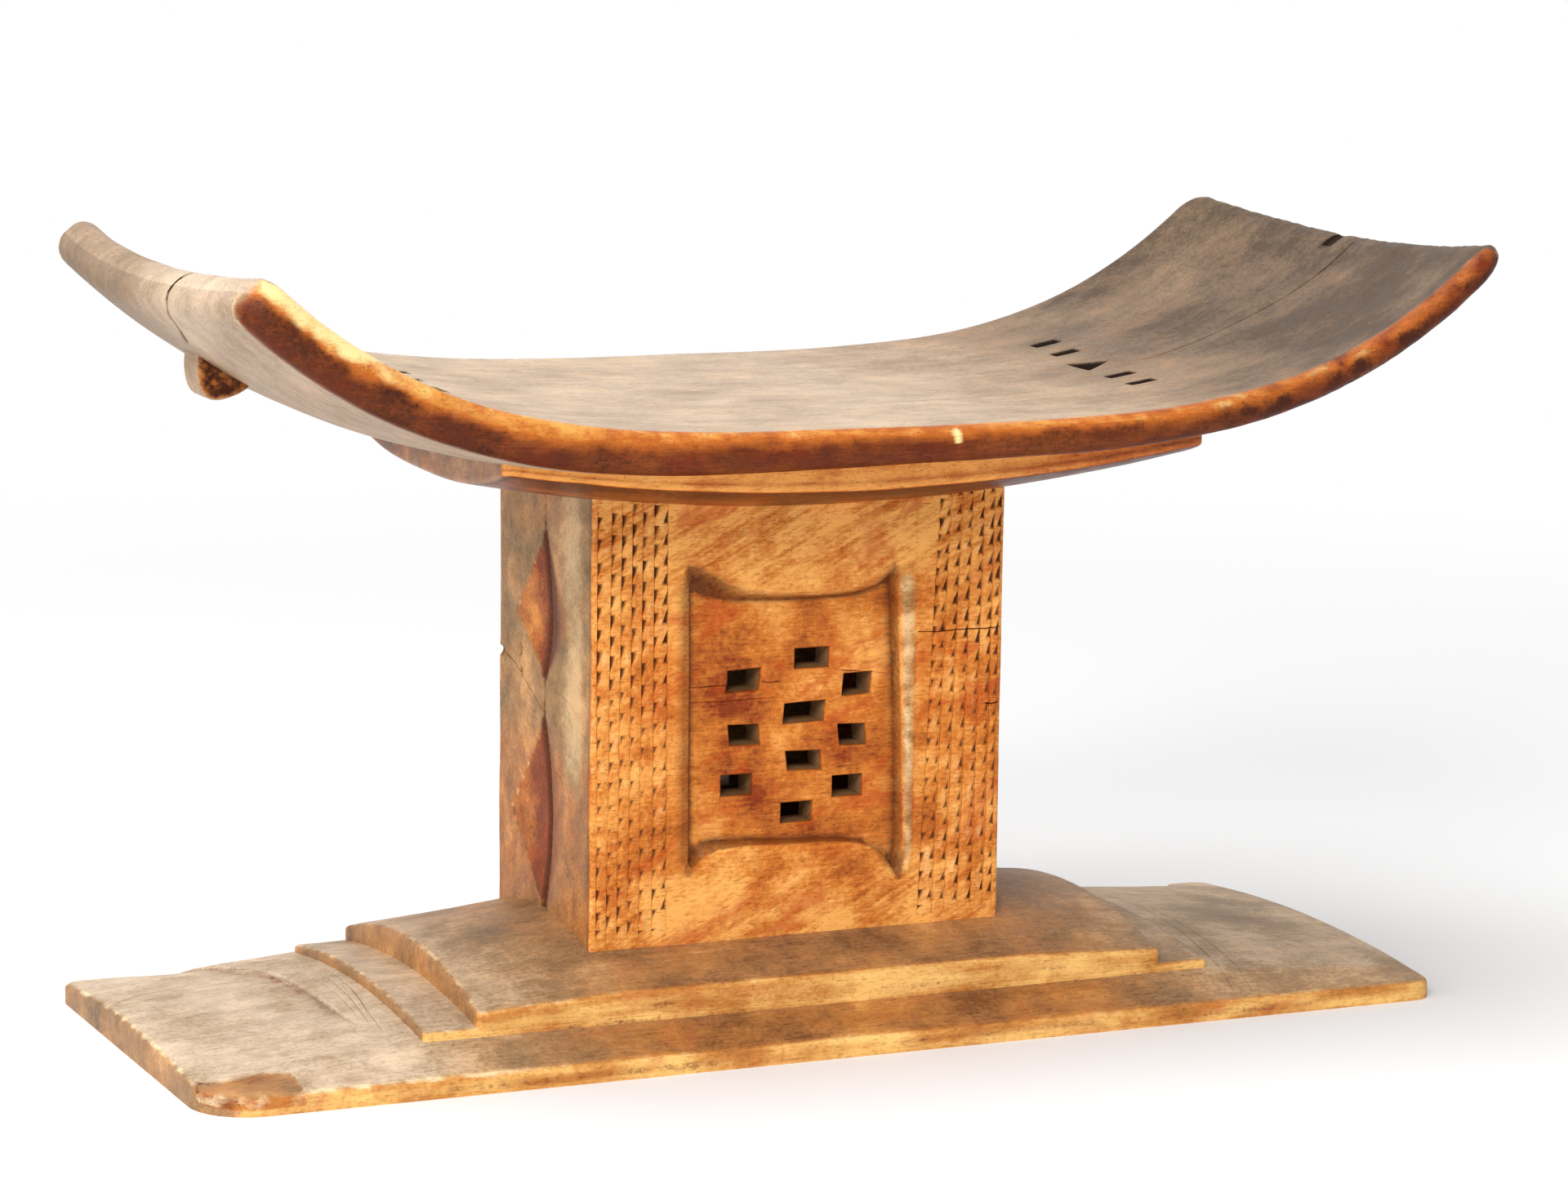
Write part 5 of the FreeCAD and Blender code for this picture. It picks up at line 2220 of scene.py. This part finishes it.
SEAT_CRACKS = [
    Groove(((-162, -69), (-137, -64), (-116, -67), (-96, -73), (-76, -80)), 0.9, 1.6),
    Groove(((21, -53), (45, -47), (72, -42), (106, -38)), 1.1, 1.6),
    Groove(((179, -6), (204, -6), (228, -7), (251, -10), (263, -10), (277, -6.5)), 1.5, 2.2, tail=0.7),
    Groove(((-281, -57.5), (-275, -57.5), (-266, -57)), 3.0, 4.5, tail=1.0),
]
SEAT_LOW_CRACKS = [
    Groove(((-281, -57.5), (-276, -55), (-268, -42), (-262, -28)), 2.0, 3.4, tail=0.9),
    Groove(((-150, 20), (-175, 22), (-205, 21)), 0.8, 1.2),
]
SEAT_BREAKS = [Patch(((274, 8), (290, 8), (290, 17), (274, 17)), 2.6, 1.0)]
PLANK_CRACKS = [
    Groove(((-289, 40), (-272, 49), (-246, 54), (-236, 51.5)), 0.8, 1.1),
    Groove(((-288, -11), (-268, -3), (-248, 1)), 0.8, 1.0),
    Groove(((-236, 106), (-225.5, 75.6), (-218, 58), (-213.7, 30.5), (-212, -3), (-211, -39), (-209.7, -52)),
           2.8, 0.9, tail=0.8),
    Groove(((-214, 92), (-205, 66), (-199, 40), (-198.5, 10), (-200, -20), (-203.5, -55)), 1.4, 0.8, tail=0.7),
    Groove(((-208, 94), (-198, 66), (-193, 34), (-194, 14), (-195, -6), (-197, -24), (-199.5, -42), (-201.4, -66)),
           1.4, 0.9, tail=0.7),
    Groove(((-219, 84), (-211, 62), (-206, 36), (-203, 8), (-203.5, -20), (-205.5, -50)), 1.3, 0.7, tail=0.7),
    Groove(((207, 48), (205, -1), (201, -36), (194.4, -75), (191, -103)), 0.9, 0.7, tail=0.8),
    Groove(((210.7, 9.5), (208.8, -22), (206, -54), (202, -88), (200.0, -104)), 0.9, 0.7, tail=0.8),
    Groove(((235, 38), (252, 35.5), (270, 36), (284, 34)), 0.8, 1.2),
]
PLANK_BREAKS = [
    Patch(((-289, -86), (-276, -89.5), (-262, -88), (-250.5, -92), (-250, -116), (-270, -116), (-296, -100)),
          1.5, 1.2),
    Patch(((249, 102), (258, 97), (270, 95), (274, 116), (248, 116)), 2.2, 1.4),
]
PLANK_STAINS = ((-190.0, -60.0, 3.6, 2.8), (20.0, 120.0, 5.0, 2.2), (150.0, 230.0, 3.5, 2.2))
LOWER_STEP_STAINS = ((-130.0, -80.0, 18.9, 2.6),)
UPPER_STEP_STAINS = ((-90.0, -52.0, 25.2, 3.2), (97.0, 119.0, 25.2, 1.8), (20.0, 60.0, 22.6, 1.2))
SCREEN_CRACKS = [
    Groove(((-57, 156.4), (-50, 156.0), (-43, 156.3), (-37.2, 156.0)), 0.5, 1.1, tail=0.8),
    Groove(((-20.6, 156.6), (-15, 156.2), (-10, 156.4)), 0.5, 0.9),
    Groove(((-56, 149.6), (-40, 149.0), (-25, 149.4), (-11, 149.1)), 0.4, 0.6),
    Groove(((12.2, 160.6), (20, 159.4), (30, 158.2), (39.5, 157.2)), 0.4, 0.7),
    Groove(((-56, 80.5), (-57.5, 77), (-58.8, 73)), 0.6, 0.6),
]
RIGHT_CRACKS = [Groove(((53, 175.8), (62, 175.2), (74, 175.6), (86, 175.3), (94.4, 175.7)), 0.6, 1.4, tail=0.8),
                Groove(((86, 141.4), (90, 141.0), (94.4, 141.6)), 0.9, 1.2)]
SIDE_CRACKS = [
    Groove(((56.0, 159.4), (49, 158.4), (36, 155.6), (22, 149.5), (8, 143.2), (-1, 139.0)), 0.6, 1.2, tail=0.5),
    Groove(((56.4, 158.6), (53.6, 158.2)), 5.0, 3.2, tail=1.0),
    Groove(((29.5, 161.2), (29.5, 164.4)), 4.4, 1.6, tail=1.0),
    Groove(((28.3, 151.6), (28.3, 154.4)), 4.0, 1.5, tail=1.0),
    Groove(((-1, 143.4), (-1, 146.6)), 2.4, 1.2, tail=1.0),
    Groove(((-14, 152), (-28, 149), (-40, 144)), 0.5, 0.4),
]


def main() -> None:
    """Builds the stool's members in order, then the studio."""
    logging.basicConfig(level=logging.INFO, format="%(message)s")
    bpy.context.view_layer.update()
    base_wood = BASE_WOOD.material()
    seat = Seat(grooves=SEAT_CRACKS, low_grooves=SEAT_LOW_CRACKS, patches=SEAT_BREAKS)
    seat_wood = SEAT_WOOD.material()
    seat.build(seat_wood)
    Shoulder(seat=seat).build(SHOULDER_WOOD.material())
    Lug(seat=seat).build(seat_wood)
    column_wood = COLUMN_WOOD.material()
    Screen(grooves=SCREEN_CRACKS).build(column_wood)
    Screen(name="back_screen_carved", node="column_back_screen", grooves=SCREEN_CRACKS,
           back=True).build(column_wood)
    Cheek(name="left_cheek_carved", node="column_left_cheek", side_marks=SIDE_CRACKS).build(column_wood)
    Cheek(name="right_cheek_carved", node="column_right_cheek", side=Side.RIGHT,
          bands=(RIGHT_BAND, LEFT_BAND), front_marks=RIGHT_CRACKS, side_marks=SIDE_CRACKS).build(column_wood)
    Step(name="upper_step_carved", node="upper_step", length=328.0, floor=21.0, end_edge=28.5, end_crown=42.0,
         foot_edge=31.5, foot_crown=51.5, stain_places=UPPER_STEP_STAINS).build(base_wood)
    Step(stain_places=LOWER_STEP_STAINS).build(base_wood)
    Plank(grooves=PLANK_CRACKS, patches=PLANK_BREAKS, stain_places=PLANK_STAINS).build(base_wood)
    Studio().build()


if __name__ == "__main__":
    main()
